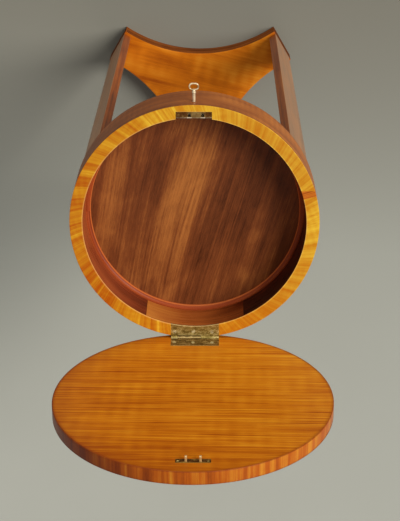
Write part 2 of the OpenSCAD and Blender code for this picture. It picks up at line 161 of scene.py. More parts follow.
def grid(*parts: np.ndarray | float) -> np.ndarray:
    """Stacks arrays or numbers, broadcast together: points from x, y and z, places from two."""
    return np.stack(np.broadcast_arrays(*parts), -1)


def around(radius: np.ndarray | float, angle: np.ndarray, height: np.ndarray | float) -> np.ndarray:
    """Points round the Z axis, (r cos a, r sin a, z), broadcast together."""
    return grid(radius * np.cos(angle), radius * np.sin(angle), height)


def circle(count: int) -> np.ndarray:
    """Angles once round, the last one a whole turn after the first."""
    return np.linspace(0, math.tau, count)


def outward(angle: float) -> tuple[np.ndarray, np.ndarray]:
    """The plan's unit vectors away from the axis at an angle, and square to that."""
    c, s = math.cos(angle), math.sin(angle)
    return np.array([c, s]), np.array([-s, c])


def rounded(radius: float) -> np.ndarray:
    """A quarter of an arris, radius * (1 - cos a, sin a - 1): from its side to its top."""
    a = np.linspace(0, math.pi / 2, 5)
    return radius * np.stack([1 - np.cos(a), np.sin(a) - 1], -1)


def revolve(profile: np.ndarray, angles: np.ndarray) -> np.ndarray:
    """Turns a profile (r, z) about the Z axis: a row for each of its points, (r cos a, r sin a, z)."""
    return around(profile[:, :1], angles, profile[:, 1:])


def along(points: np.ndarray, axis: int) -> np.ndarray:
    """The length run along one direction of a grid, from its first row or column, in metres."""
    step = np.linalg.norm(np.diff(points, axis=axis), axis=-1)
    return np.insert(np.cumsum(step, axis), 0, 0, axis) / 1000.0


def plate_rows(arris_in: float, arris_out: float, thick: float, across: int) -> np.ndarray:
    """The closed section of a thin flat strip: up one edge, across the top, down the other, back.

    Each row is (share of the way across, distance from that edge inwards, height below the top).
    The top's two edges are quarter rounds.

    Args:
        arris_in, arris_out: radii of the two top edges.
        thick: thickness of the strip.
        across: rows between the edges on the top.

    Returns:
        Rows (n, 3), the last equal to the first.
    """
    near, far = rounded(arris_in), rounded(arris_out)[::-1]
    up = grid(0, near[:, 0], near[:, 1])
    down = grid(1, -far[:, 0], far[:, 1])
    top = grid(np.linspace(0, 1, across + 2)[1:-1], 0, 0)
    foot_in, foot_out = [[0, 0, -thick]], [[1, 0, -thick]]
    return np.concatenate([foot_in, up, top, down, foot_out, foot_in])


def strip(near: np.ndarray, far: np.ndarray, rows: np.ndarray, up: Sequence[float] = (0, 0, 1)) -> np.ndarray:
    """Carries the section of a flat strip along two curves.

    A point is near * (1 - w) + far * w + d * (the unit step from near to far) + h * up, for a
    section row (w, d, h).

    Args:
        near, far: (m, 3) curves along the strip's two edges.
        rows: (n, 3) section from plate_rows.
        up: direction of the strip's face.

    Returns:
        Points (n, m, 3).
    """
    step = far - near
    unit = step / np.linalg.norm(step, axis=-1, keepdims=True)
    w, d, h = (rows[:, i][:, None, None] for i in range(3))
    return near * (1 - w) + far * w + d * unit + h * np.asarray(up, float)


def sweep(section: np.ndarray, path: np.ndarray, side: np.ndarray, up: np.ndarray) -> np.ndarray:
    """Carries a section along a path: a point is path + a * side + b * up for a section point (a, b).

    Args:
        section: (n, 2).
        path, side, up: (m, 3), or (3,) where it is the same all the way.

    Returns:
        Points (n, m, 3).
    """
    a, b = section[:, 0][:, None, None], section[:, 1][:, None, None]
    return path + a * side + b * up


def ring_of(radius_a: float, radius_b: float, count: int) -> np.ndarray:
    """A closed oval section (count + 1, 2): (a cos t, b sin t)."""
    t = circle(count + 1)
    return grid(radius_a * np.cos(t), radius_b * np.sin(t))


def rounded_box(wide: float, high: float, radius: float, between: int) -> np.ndarray:
    """A closed rectangle section with quarter-round corners, centred, anticlockwise.

    Args:
        wide, high: its size.
        radius: radius of its corners.
        between: steps along each straight side.

    Returns:
        Points (n, 2), the last equal to the first.
    """
    a = np.linspace(0, math.pi / 2, 4)
    corner = radius * np.stack([np.cos(a), np.sin(a)], -1)
    turned = [corner @ np.array([[c, s], [-s, c]]) for c, s in ((1, 0), (0, 1), (-1, 0), (0, -1))]
    signs = np.array([[1, 1], [-1, 1], [-1, -1], [1, -1]])
    middles = signs * [wide / 2 - radius, high / 2 - radius]
    corners = [t + m for t, m in zip(turned, middles)]
    share = np.linspace(0, 1, between + 1)[1:-1, None]
    parts = []
    for this, after in zip(corners, corners[1:] + corners[:1]):
        parts += [this, this[-1] * (1 - share) + after[0] * share]
    return np.concatenate([*parts, corners[0][:1]])


class Skin:
    """Gathers grid surfaces into the mesh of one piece."""

    def __init__(self) -> None:
        """Starts with nothing."""
        self.points: list[np.ndarray] = []
        self.wear_and_light: list[np.ndarray] = []
        self.faces: list[tuple[np.ndarray, np.ndarray]] = []
        self.count = 0

    def add(
        self,
        points: np.ndarray,
        grain: Optional[np.ndarray] = None,
        *,
        core: Sequence[float],
        wrap: bool = False,
        wrap_rows: bool = False,
        pole_first: bool = False,
        pole_last: bool = False,
        skip: Optional[np.ndarray] = None,
        wear_and_light: Optional[np.ndarray | float] = None,
    ) -> "Skin":
        """Adds a grid of points as quads, and triangles where a row closes to a pole.

        The faces are turned outwards by the sign of the sum of (face middle - core) . (face
        normal, twice as long as the face is large), which is six times a closed surface's volume.

        Args:
            points: (rows, columns, 3) in mm.
            grain: (rows, columns, 2) in metres, along and across the grain.
            core: the point that the faces look away from.
            wrap: the last column is the first.
            wrap_rows: the last row is the first.
            pole_first, pole_last: that row is one point.
            skip: (rows - 1, columns - 1), true where there is no face.
            wear_and_light: rubbed wear and painted highlights above nought, dirt and painted shade below it,
                -1 to 1: (rows, columns), or what broadcasts to it.

        Returns:
            The skin itself.
        """
        rows, cols = points.shape[:2]
        if grain is None:
            grain = grid(along(points, 1), along(points, 0))
        index = np.arange(rows * cols).reshape(rows, cols)
        if wrap:
            index[:, -1] = index[:, 0]
        if wrap_rows:
            index[-1] = index[0]
        if pole_first:
            index[0] = index[0, 0]
        if pole_last:
            index[-1] = index[-1, 0]
        used, packed = np.unique(index, return_inverse=True)
        flat = points.reshape(-1, 3)[used]
        index = packed.reshape(rows, cols)

        def corners(of: np.ndarray) -> np.ndarray:
            """The four corners of each cell of a grid."""
            cells = [of[:-1, :-1], of[1:, :-1], of[1:, 1:], of[:-1, 1:]]
            return np.stack(cells, 2).reshape(-1, 4, *of.shape[2:])

        quads, places = corners(index), corners(grain)
        keep = np.ones(len(quads), bool) if skip is None else ~skip.reshape(-1)
        quads, places = quads[keep], places[keep]
        first, last = quads[:, 0] == quads[:, 3], quads[:, 1] == quads[:, 2]
        whole = ~(first | last)
        groups = [
            (quads[whole], places[whole]),
            (quads[first & ~last][:, [0, 1, 2]], places[first & ~last][:, [0, 1, 2]]),
            (quads[last & ~first][:, [0, 1, 3]], places[last & ~first][:, [0, 1, 3]]),
        ]
        middle = np.asarray(core, float)
        total = 0.0
        for faces, _ in groups:
            v = flat[faces]
            normal = np.cross(v[:, 1] - v[:, 0], v[:, 2] - v[:, 0])
            normal = normal + (np.cross(v[:, 2] - v[:, 0], v[:, 3] - v[:, 0]) if faces.shape[1] == 4 else 0)
            total += float(((v.mean(1) - middle) * normal).sum())
        if total < 0:
            groups = [(faces[:, ::-1], spots[:, ::-1]) for faces, spots in groups]
        self.faces += [(faces + self.count, spots) for faces, spots in groups if len(faces)]
        self.points.append(flat)
        wear = np.zeros((rows, cols)) if wear_and_light is None else np.broadcast_to(wear_and_light, (rows, cols))
        self.wear_and_light.append(wear.reshape(-1)[used])
        self.count += len(flat)
        return self

    def cap(self, curve: np.ndarray, core: Sequence[float]) -> "Skin":
        """Closes the end of a swept piece: a fan from its outline, (m, 3), to the outline's middle."""
        fan = np.stack(np.broadcast_arrays(curve, curve[:-1].mean(0)))
        return self.add(fan, wrap=True, pole_last=True, core=core)

    def band(
        self, points: np.ndarray, grain: Optional[np.ndarray] = None, wear_and_light: Optional[np.ndarray] = None
    ) -> "Skin":
        """Adds a closed section that runs along a curve, and closes its two ends.

        Args:
            points: (rows, columns, 3) in mm, the last row equal to the first.
            grain: as in add.
            wear_and_light: as in add.

        Returns:
            The skin itself.
        """
        core = points[:, points.shape[1] // 2].mean(0)
        self.add(points, grain, wrap_rows=True, core=core, wear_and_light=wear_and_light)
        return self.cap(points[:, 0], core).cap(points[:, -1], core)

    def piece(self, name: str, turn_open: bool = False) -> Piece:
        """Makes the Blender object, smooth but for its sharp edges.

        Args:
            name: its name.
            turn_open: the points are the closed lid's, and are turned open.

        Returns:
            The object, at the origin.
        """
        co = np.concatenate(self.points)
        if turn_open:
            co = ButtHinge.opened(co)
        mesh = bpy.data.meshes.new(name)
        mesh.from_pydata(co / 1000.0, [], [row for faces, _ in self.faces for row in faces.tolist()])
        layer = mesh.uv_layers.new(name=GRAIN)
        spots = np.concatenate([places.reshape(-1, 2) for _, places in self.faces])
        layer.data.foreach_set("uv", spots.astype(np.float32).ravel())
        wear = mesh.attributes.new(WEAR_AND_LIGHT, "FLOAT", "POINT")
        wear.data.foreach_set("value", np.concatenate(self.wear_and_light).astype(np.float32))
        mesh.shade_smooth()
        mesh.set_sharp_from_angle(angle=SHARP)
        mesh.update()
        made = bpy.data.objects.new(name, mesh)
        bpy.context.scene.collection.objects.link(made)
        return made


# Finishes


class Wiring:
    """Wires the nodes of one material round its one Principled shader."""

    def __init__(self, name: str) -> None:
        """Makes the material with a shader and an output.

        Args:
            name: the material's name.
        """
        self.material = bpy.data.materials.new(name)
        self.material.use_nodes = True
        self.tree = self.material.node_tree
        self.tree.nodes.clear()
        self.shader = self.node("ShaderNodeBsdfPrincipled")
        self.node("ShaderNodeOutputMaterial", {"Surface": self.shader.outputs[0]})

    def node(self, kind: str, inputs: Optional[dict] = None, **settings: object) -> bpy.types.Node:
        """Adds a node, sets its properties and feeds its sockets.

        Args:
            kind: its type.
            inputs: what its sockets get, by name or number.
            settings: its properties, by name.

        Returns:
            The node.
        """
        made = self.tree.nodes.new(kind)
        for key, value in settings.items():
            setattr(made, key, value)
        for key, value in (inputs or {}).items():
            self.feed(made.inputs[key], value)
        return made

    def feed(self, socket: Socket, value: object) -> None:
        """Links a socket to another, or sets its value.

        Args:
            socket: the one that is fed.
            value: another socket, a number, a vector or a colour.
        """
        if isinstance(value, Socket):
            self.tree.links.new(value, socket)
        elif isinstance(value, tuple) and len(value) == 3 and socket.type == "RGBA":
            socket.default_value = (*value, 1.0)
        else:
            socket.default_value = value

    def split(self, vector: Socket) -> Sequence[Socket]:
        """The X, Y and Z of a vector."""
        return self.node("ShaderNodeSeparateXYZ", {0: vector}).outputs

    def source(self, coords: Coords) -> Socket:
        """The coordinates that a finish reads, with the grain along their X.

        Args:
            coords: which ones.

        Returns:
            The vector socket, in metres.
        """
        if coords is Coords.GRAIN_MAP:
            return self.node("ShaderNodeUVMap", uv_map=GRAIN).outputs[0]
        return self.node("ShaderNodeTexCoord").outputs["Object"]

    def place(
        self, source: Socket, size: Sequence[float], turn: float = 0.0, shift: Sequence[float] = (0, 0, 0)
    ) -> Socket:
        """Turns a pattern and gives it its size.

        Args:
            source: coordinates in metres.
            size: length of one unit of the pattern along and across the grain, in mm.
            turn: degrees that the pattern is turned.
            shift: where its middle is, in metres.

        Returns:
            The vector socket.
        """
        scale = (size[0] / 1000, size[1] / 1000, size[1] / 1000)
        rotation = (0, 0, math.radians(turn))
        inputs = {"Vector": source, "Location": tuple(shift), "Rotation": rotation, "Scale": scale}
        return self.node("ShaderNodeMapping", inputs, vector_type="TEXTURE").outputs[0]

    def noise(self, vector: Socket, detail: float = 2.0, rough: float = 0.5, bend: float = 0.0) -> Socket:
        """Noise with cells about one unit wide."""
        inputs = {"Vector": vector, "Scale": 1.0, "Detail": detail, "Roughness": rough, "Distortion": bend}
        return self.node("ShaderNodeTexNoise", inputs).outputs[0]

    def waves(self, vector: Socket) -> Socket:
        """Bars across X, one in each unit, bent and crowded by noise.

        Args:
            vector: the placed coordinates.

        Returns:
            The bars' socket, 0 to 1.
        """
        bend = {"Distortion": 6.0, "Detail": 2.0, "Detail Scale": 0.45}
        inputs = {"Vector": vector, "Scale": math.pi / 10, **bend}
        return self.node("ShaderNodeTexWave", inputs, bands_direction="X").outputs["Fac"]

    def maths(self, kind: str, a: object, b: object = 0.0, clamp: bool = False) -> Socket:
        """One sum of two numbers."""
        return self.node("ShaderNodeMath", {0: a, 1: b}, operation=kind, use_clamp=clamp).outputs[0]

    def weigh(self, parts: Sequence[tuple[Socket, float]], middle: float = 0.5) -> Socket:
        """Adds patterns round a middle: middle + the sum of (pattern - 0.5) * weight.

        Args:
            parts: the patterns and their weights.
            middle: the value where every pattern is 0.5.

        Returns:
            The sum's socket.
        """
        total: object = middle - 0.5 * sum(weight for _, weight in parts)
        for pattern, weight in parts:
            inputs = {0: pattern, 1: weight, 2: total}
            total = self.node("ShaderNodeMath", inputs, operation="MULTIPLY_ADD").outputs[0]
        return total

    def span(self, value: object, low: float, high: float, to: Sequence[float] = (0, 1)) -> Socket:
        """Brings the stretch from low to high of a number to another stretch, smoothly and clamped."""
        inputs = {"Value": value, "From Min": low, "From Max": high, "To Min": to[0], "To Max": to[1]}
        return self.node("ShaderNodeMapRange", inputs, interpolation_type="SMOOTHSTEP").outputs["Result"]

    def ramp(self, value: Socket, stops: Sequence[tuple[float, Colour]]) -> Socket:
        """Colours a number between 0 and 1.

        Args:
            value: the number.
            stops: values and their colours, rising.

        Returns:
            The colour's socket.
        """
        made = self.node("ShaderNodeValToRGB", {0: value})
        elements = made.color_ramp.elements
        while len(elements) < len(stops):
            elements.new(0.5)
        for element, (at, colour) in zip(elements, stops):
            element.position = at
            element.color = (*colour, 1.0)
        return made.outputs[0]

    def blend(self, share: object, under: object, over: object) -> Socket:
        """Lays one colour over another, by a share that is held between 0 and 1."""
        inputs = {"Factor": share, 6: under, 7: over}
        return self.node("ShaderNodeMix", inputs, data_type="RGBA", clamp_factor=True).outputs[2]

    def wear_and_painted_light(self, colour: Socket, rubbed: Colour, dirt_and_shade: Colour) -> Socket:
        """Colours the wear and painted light that a piece's mesh carries: rubbed wear and painted highlights
        above nought, dirt and painted shade below it.

        Args:
            colour: the finish where there is no wear.
            rubbed: the colour at 1, for rubbed wear and painted highlights.
            dirt_and_shade: the colour at -1, for dirt and painted shade.

        Returns:
            The colour's socket.
        """
        wear = self.node("ShaderNodeAttribute", attribute_name=WEAR_AND_LIGHT).outputs["Fac"]
        colour = self.blend(wear, colour, rubbed)
        return self.blend(self.maths("MULTIPLY", wear, -1.0, True), colour, dirt_and_shade)

    def finish(
        self, colour: Socket, rough: object, height: Socket, depth: float, **constants: float
    ) -> Material:
        """Sets the shader and gives the material.

        Args:
            colour: the base colour.
            rough: its roughness.
            height: the pattern that the bump follows.
            depth: the bump's depth in mm.
            constants: other values, by the shader's own names with _ for a space.

        Returns:
            The material.
        """
        bump = self.node("ShaderNodeBump", {"Strength": 1.0, "Distance": depth / 1000, "Height": height})
        inputs = {"Base_Color": colour, "Roughness": rough, "Normal": bump.outputs[0], **constants}
        for key, value in inputs.items():
            self.feed(self.shader.inputs[key.replace("_", " ")], value)
        return self.material


@dataclass(frozen=True)
class WoodFinish:
    """A polished wood: ribbons, streaks and pores along the grain, and a ripple across it."""

    name: str
    dark: Colour
    middle: Colour
    light: Colour
    edge: Colour
    coords: Coords = Coords.GRAIN_MAP
    turn: float = 0.0
    seed: float = 0.0
    ribbon_width: float = 22.0
    ribbon_weight: float = 1.2
    streak_width: float = 2.2
    streak_weight: float = 1.3
    fine_weight: float = 0.0
    line_gap: float = 4.0
    line_weight: float = 0.0
    line_fade: tuple[float, float] = (1.0, 2.0)
    pore_weight: float = 0.35
    cloud_weight: float = 0.55
    ripple: float = 0.0
    ripple_weight: float = 0.0
    gloss: float = 0.38
    sheen: float = 0.14
    drift: tuple[float, float, float] = (0.0, 0.0, 0.0)
    bands: tuple[tuple[float, float], ...] = ()
    bands_from: float = -0.17
    bands_to: float = 0.17
    bands_middle: float = 0.0
    bands_half: float = 9.0

    def build(self) -> Material:
        """Makes the material.

        Returns:
            The material.
        """
        w = Wiring(self.name)
        source = w.source(self.coords)
        shift = (self.seed * 0.37, self.seed * 0.61, self.seed)
        ribbon = w.noise(w.place(source, (320, self.ribbon_width), self.turn, shift), 3, 0.55, 0.5)
        streak = w.noise(w.place(source, (150, self.streak_width), self.turn, shift), 4, 0.6, 0.3)
        pore = w.noise(w.place(source, (9, 0.34), self.turn, shift), 2, 0.6)
        cloud = w.noise(w.place(source, (60, 45), self.turn, shift), 2, 0.5, 0.4)
        parts = [(ribbon, self.ribbon_weight), (streak, self.streak_weight)]
        parts += [(pore, self.pore_weight), (cloud, self.cloud_weight)]
        if self.fine_weight:
            fine = w.noise(w.place(source, (130, 0.4 * self.streak_width), self.turn, shift), 3, 0.6, 0.2)
            parts.append((fine, self.fine_weight))
        if self.ripple:
            bars = w.waves(w.place(source, (self.ripple, self.ripple * 6), self.turn, shift))
            patch = w.span(w.noise(w.place(source, (60, 34), self.turn, shift), 1), 0.38, 0.64, (0.1, 1))
            parts.append((w.maths("MULTIPLY", bars, patch), self.ripple_weight))
        tone = w.weigh(parts, 0.5 + (0.2 * self.ripple_weight if self.ripple else 0))
        # A tone gradient by place in the frame; on the lining, the hinge block and the lid's edge it is
        # painted shade
        if any(self.drift):
            inputs = {0: w.source(Coords.PLACE), 1: self.drift}
            dot = w.node("ShaderNodeVectorMath", inputs, operation="DOT_PRODUCT")
            tone = w.maths("ADD", tone, dot.outputs["Value"])
        if self.bands:
            tone = w.maths("ADD", tone, self.tone_bands(w, source, ribbon))
        if self.line_weight:
            tone = w.maths("SUBTRACT", tone, self.dark_lines(w, source))
        colour = w.ramp(tone, ((0.08, self.dark), (0.5, self.middle), (0.92, self.light)))
        colour = w.blend(w.span(pore, 0.60, 0.78, (0, 0.30)), colour, self.dark)
        colour = w.wear_and_painted_light(colour, self.edge, self.dark)
        rough = w.weigh([(streak, 0.16), (cloud, 0.14)], self.gloss)
        height = w.weigh([(pore, 1.0), (streak, 0.6)], 0.5)
        return w.finish(colour, rough, height, 0.05, Specular_IOR_Level=self.sheen)

    def dark_lines(self, w: Wiring, source: Socket) -> Socket:
        """Fine dark lines along the grain, where stretched noise crosses its middle value.

        Args:
            w: the material's wiring.
            source: the finish's coordinates.

        Returns:
            The tone to take away.
        """
        stretched = w.place(source, (380, self.line_gap), self.turn, (0.1, 0.2, self.seed))
        wander = w.noise(stretched, 1.5, 0.5, 0.2)
        line = w.span(w.maths("ABSOLUTE", w.maths("SUBTRACT", wander, 0.5)), 0.012, 0.055, (1, 0))
        broad = w.noise(w.place(source, (230, 26), self.turn, (0.3, 0.4, self.seed)), 1)
        patch = w.span(broad, 0.38, 0.62, (0.15, 1))
        fade = w.span(w.split(source)[1], *self.line_fade, (1, 0.3))
        drawn = w.maths("MULTIPLY", w.maths("MULTIPLY", line, patch), fade)
        return w.maths("MULTIPLY", drawn, self.line_weight)

    def tone_bands(self, w: Wiring, source: Socket, ribbon: Socket) -> Socket:
        """Broad lighter and darker bands laid across the board, with wandering edges.

        Args:
            w: the material's wiring.
            source: the finish's coordinates.
            ribbon: the noise that bends the bands.

        Returns:
            The tone to add, about -0.5 to 0.5.
        """
        lengthwise, across, _ = w.split(w.place(source, (1000, 1000), self.turn))
        share = w.span(w.maths("ADD", across, w.weigh([(ribbon, 0.03)], 0.0)), self.bands_from, self.bands_to)
        share.node.interpolation_type = "LINEAR"
        grey = w.ramp(share, [(at, (0.5 + tone,) * 3) for at, tone in self.bands])
        off = w.maths("ABSOLUTE", w.maths("SUBTRACT", lengthwise, self.bands_middle))
        fade = w.span(off, 0.5 * self.bands_half, 1.5 * self.bands_half, (1, 0.15))
        return w.maths("MULTIPLY", w.maths("SUBTRACT", grey, 0.5), fade)


@dataclass(frozen=True)
class MetalFinish:
    """Old metal with tarnish in patches and brighter rubbed edges."""

    name: str
    bright: Colour
    body: Colour
    tarnish: Colour
    rough: float = 0.42
    metal: float = 0.75
    sheen: float = 0.5
    strip: bool = False

    def build(self) -> Material:
        """Makes the material.

        Returns:
            The material.
        """
        w = Wiring(self.name)
        source = w.source(Coords.PLACE)
        patch = w.noise(w.place(source, (9, 6)), 4, 0.62, 0.5)
        speckle = w.noise(w.place(source, (SPECKLE, SPECKLE)), 3, 0.65)
        scratch = w.noise(w.place(source, (7, 0.25), 8), 2, 0.5)
        tone = w.weigh([(patch, 1.9), (speckle, 1.1), (scratch, 0.5)], 0.52)
        colour = w.ramp(tone, ((0.12, self.tarnish), (0.52, self.body), (0.95, self.bright)))
        if self.strip:
            colour = w.blend(self.strip_middle(w, source), colour, self.bright)
            # Painted glints on the strip's inner edge, beside the slots
            colour = w.blend(self.strip_edge_glint(w, source, patch), colour, PAINTED_GLINT)
        colour = w.wear_and_painted_light(colour, self.bright, self.tarnish)
        rough = w.weigh([(patch, 0.3), (scratch, 0.2)], self.rough)
        height = w.weigh([(speckle, 0.8), (scratch, 0.5)], 0.5)
        return w.finish(colour, rough, height, 0.04, Metallic=self.metal, Specular_IOR_Level=self.sheen)

    def strip_middle(self, w: Wiring, source: Socket) -> Socket:
        """The lighter stretch of the lock strip round and between its two slots: 0.35 there, 0 elsewhere."""
        off = w.maths("ABSOLUTE", w.maths("SUBTRACT", w.split(source)[0], LinkPlate().middle / 1000))
        return w.span(off, 0.007, 0.015, (0.35, 0))

    def strip_edge_glint(self, w: Wiring, source: Socket, patch: Socket) -> Socket:
        """A painted glint along the lock strip's inner edge, brightest beside its two slots.

        Args:
            w: the material's wiring.
            source: the place in the frame.
            patch: noise that breaks the line up.

        Returns:
            How strong the painted glint is, 0 to 1.
        """
        lock, link = BoxLock(), LinkPlate()
        x, y, z = w.split(source)
        edge = w.span(y, -(lock.back + 1.7) / 1000, -(lock.back + 0.9) / 1000)
        top = w.span(z, (lock.top - 0.5) / 1000, (lock.top - 0.1) / 1000)
        off_middle = w.maths("ABSOLUTE", w.maths("SUBTRACT", x, link.middle / 1000))
        from_slot = w.maths("ABSOLUTE", w.maths("SUBTRACT", off_middle, link.pitch / 2000))
        beside = w.span(from_slot, 0.0022, 0.0042, (1, 0.15))
        broken = w.span(patch, 0.35, 0.6, (0.4, 1))
        return w.maths("MULTIPLY", w.maths("MULTIPLY", edge, top), w.maths("MULTIPLY", beside, broken))


@dataclass(frozen=True)
class Finishes:
    """The woods and metals of the table."""

    rim: WoodFinish = WoodFinish(
        "rim_satinwood",
        screen(178, 84, 8), screen(208, 142, 26), screen(244, 204, 60), screen(244, 190, 118),
        ribbon_width=9, ribbon_weight=1.1, streak_width=3.2, streak_weight=0.45, ripple=9, ripple_weight=0.07,
        turn=70, seed=0.4, drift=(-1.3, -0.6, 0.0),
    )
    rim_patch: WoodFinish = WoodFinish(
        "rim_let_in_piece",
        screen(134, 58, 12), screen(194, 102, 26), screen(222, 136, 42), screen(150, 76, 24),
        ribbon_width=4, ribbon_weight=1.4, streak_width=1.2, streak_weight=1.6, seed=1.3,
    )
    lid_face: WoodFinish = WoodFinish(
        "lid_satinwood", screen(154, 64, 6), screen(205, 116, 14), screen(234, 158, 34), screen(132, 52, 12),
        ribbon_width=11, ribbon_weight=0.5, streak_width=3.0, streak_weight=1.0, fine_weight=1.0,
        cloud_weight=0.3, ripple=21, ripple_weight=0.08, turn=1.2, seed=2.2, drift=(-0.4, 0.0, 0.0),
        line_gap=2.8, line_weight=0.3, line_fade=(-0.06, 0.04),
        bands=(
            (0.0, -0.12), (0.12, -0.12), (0.24, -0.03), (0.46, 0.03), (0.62, -0.02), (0.8, 0.09), (1.0, 0.05),
        ),
        bands_from=-0.19, bands_to=0.19,
    )
    lid_outside: WoodFinish = WoodFinish(
        "lid_top_satinwood",
        screen(150, 70, 8), screen(202, 120, 20), screen(230, 156, 42), screen(146, 74, 20),
        ribbon_width=16, ribbon_weight=1.0, streak_width=2.4, streak_weight=1.1, ripple=24,
        ripple_weight=0.08, seed=3.7,
    )
    # Painted shade: the drift darkens the lid's edge towards +X, the side turned from the lamp
    lid_edge: WoodFinish = WoodFinish(
        "lid_edge_veneer", screen(106, 36, 8), screen(178, 86, 16), screen(214, 142, 40), screen(128, 54, 16),
        ribbon_width=15, ribbon_weight=1.2, streak_width=4.5, streak_weight=0.7, cloud_weight=0.3, seed=5.1,
        drift=(-0.7, 0.0, 0.0),
    )
    side: WoodFinish = WoodFinish(
        "drum_side_veneer",
        screen(90, 38, 12), screen(150, 80, 30), screen(188, 112, 48), screen(112, 56, 28),
        ribbon_width=26, ribbon_weight=0.8, streak_width=2.6, streak_weight=0.9, ripple=10,
        ripple_weight=0.12, seed=6.4, sheen=0.18, drift=(-0.9, 0.0, 0.0),
    )
    # Painted shade: the lining's drift darkens it towards -X and +Y, where the wall shades it, down to a dark
    # stop of the shadow's colour
    lining: WoodFinish = WoodFinish(
        "drum_lining", screen(36, 12, 8), screen(130, 56, 26), screen(170, 86, 44), screen(152, 78, 38),
        ribbon_width=14, ribbon_weight=0.5, streak_width=2.0, streak_weight=0.5, seed=7.7, gloss=0.3,
        drift=(2.0, -1.8, 0.0),
    )
    # Painted shade: the block's drift darkens it towards -X, where its end lies in the wall's shadow
    block: WoodFinish = WoodFinish(
        "hinge_block", screen(84, 28, 8), screen(170, 90, 36), screen(200, 124, 50), screen(132, 68, 30),
        ribbon_width=18, ribbon_weight=0.5, streak_width=2.4, streak_weight=0.6, seed=8.2, gloss=0.3,
        drift=(4.6, 0.0, 0.0),
    )
    board: WoodFinish = WoodFinish(
        "drum_floor_mahogany",
        screen(58, 26, 12), screen(118, 62, 30), screen(178, 110, 52), screen(96, 46, 24),
        ribbon_width=21, ribbon_weight=0.8, streak_width=3.2, streak_weight=0.6, pore_weight=0.7, seed=9.6,
        bands=(
            (0.0, -0.10), (0.16, -0.08), (0.30, -0.14), (0.44, -0.22), (0.475, 0.14), (0.56, 0.30),
            (0.65, 0.22), (0.70, -0.12), (0.76, -0.08), (0.84, 0.16), (1.0, 0.02),
        ),
        bands_from=-0.165, bands_to=0.165, bands_middle=-0.015, bands_half=0.1,
    )
    bead: WoodFinish = WoodFinish(
        "floor_bead", screen(108, 38, 12), screen(154, 66, 28), screen(188, 96, 46), screen(208, 114, 56),
        ribbon_width=6, streak_width=1.0, streak_weight=0.9, seed=10.3,
    )
    # Its pale greyish edge colour serves the rubbed arrises and the painted sheen on the legs' outer faces
    leg: WoodFinish = WoodFinish(
        "leg_mahogany", screen(78, 32, 10), screen(140, 68, 22), screen(180, 104, 44), screen(182, 152, 116),
        ribbon_width=10, streak_width=1.8, streak_weight=1.0, seed=11.9, gloss=0.34, sheen=0.2,
    )
    plinth_face: WoodFinish = WoodFinish(
        "plinth_satinwood",
        screen(146, 62, 4), screen(206, 112, 12), screen(234, 152, 40), screen(150, 76, 18),
        ribbon_width=30, ribbon_weight=0.85, streak_width=5.0, streak_weight=0.5, ripple=22,
        ripple_weight=0.12, turn=-14, seed=12.6, drift=(-0.45, 0.0, 0.0),
    )
    edging: WoodFinish = WoodFinish(
        "plinth_edging", screen(60, 26, 6), screen(124, 62, 18), screen(166, 94, 38), screen(166, 92, 40),
        ribbon_width=8, streak_width=1.2, streak_weight=1.5, seed=13.4, gloss=0.55, sheen=0.03,
    )
    inner_mahogany: WoodFinish = WoodFinish(
        "drum_wall_mahogany",
        screen(80, 40, 22), screen(118, 64, 36), screen(150, 90, 54), screen(110, 60, 34),
        coords=Coords.PLACE, seed=14.0, gloss=0.6,
    )
    core: WoodFinish = WoodFinish(
        "plain_core_wood",
        screen(150, 112, 74), screen(186, 150, 104), screen(208, 174, 128), screen(180, 144, 100),
        coords=Coords.PLACE, seed=15.0, gloss=0.7, streak_weight=0.8,
    )
    brass: MetalFinish = MetalFinish(
        "tarnished_brass", screen(232, 214, 150), screen(158, 134, 66), screen(106, 90, 42),
    )
    # A darker copy of the hinge's brass for the lid's leaf: painted shade
    shaded_lid_leaf_brass: MetalFinish = MetalFinish(
        "shaded_hinge_brass", screen(208, 182, 122), screen(130, 98, 42), screen(66, 48, 20),
    )
    key_brass: MetalFinish = MetalFinish(
        "key_brass", screen(250, 234, 198), screen(180, 144, 92), screen(112, 80, 42), rough=0.34, metal=0.4,
    )
    lock_brass: MetalFinish = MetalFinish(
        "dark_lock_brass", screen(150, 126, 76), screen(96, 58, 20), screen(58, 30, 10), metal=0.2,
        sheen=0.1, strip=True,
    )
    link_brass: MetalFinish = MetalFinish(
        "dark_link_brass", screen(172, 136, 60), screen(98, 62, 26), screen(44, 24, 8), metal=0.3,
        sheen=0.2,
    )
    staple_brass: MetalFinish = MetalFinish(
        "rubbed_staple_brass", screen(214, 180, 122), screen(176, 136, 84), screen(106, 76, 40), metal=0.4,
    )
    screw_brass: MetalFinish = MetalFinish(
        "hinge_screw_brass", screen(240, 230, 190), screen(190, 172, 112), screen(118, 98, 52),
    )
    bright_brass: MetalFinish = MetalFinish(
        "rubbed_brass",
        screen(255, 242, 212), screen(240, 216, 170), screen(182, 148, 92), rough=0.32, metal=0.4,
    )
    steel: MetalFinish = MetalFinish(
        "dull_steel", screen(200, 198, 190), screen(150, 148, 142), screen(90, 84, 74),
    )


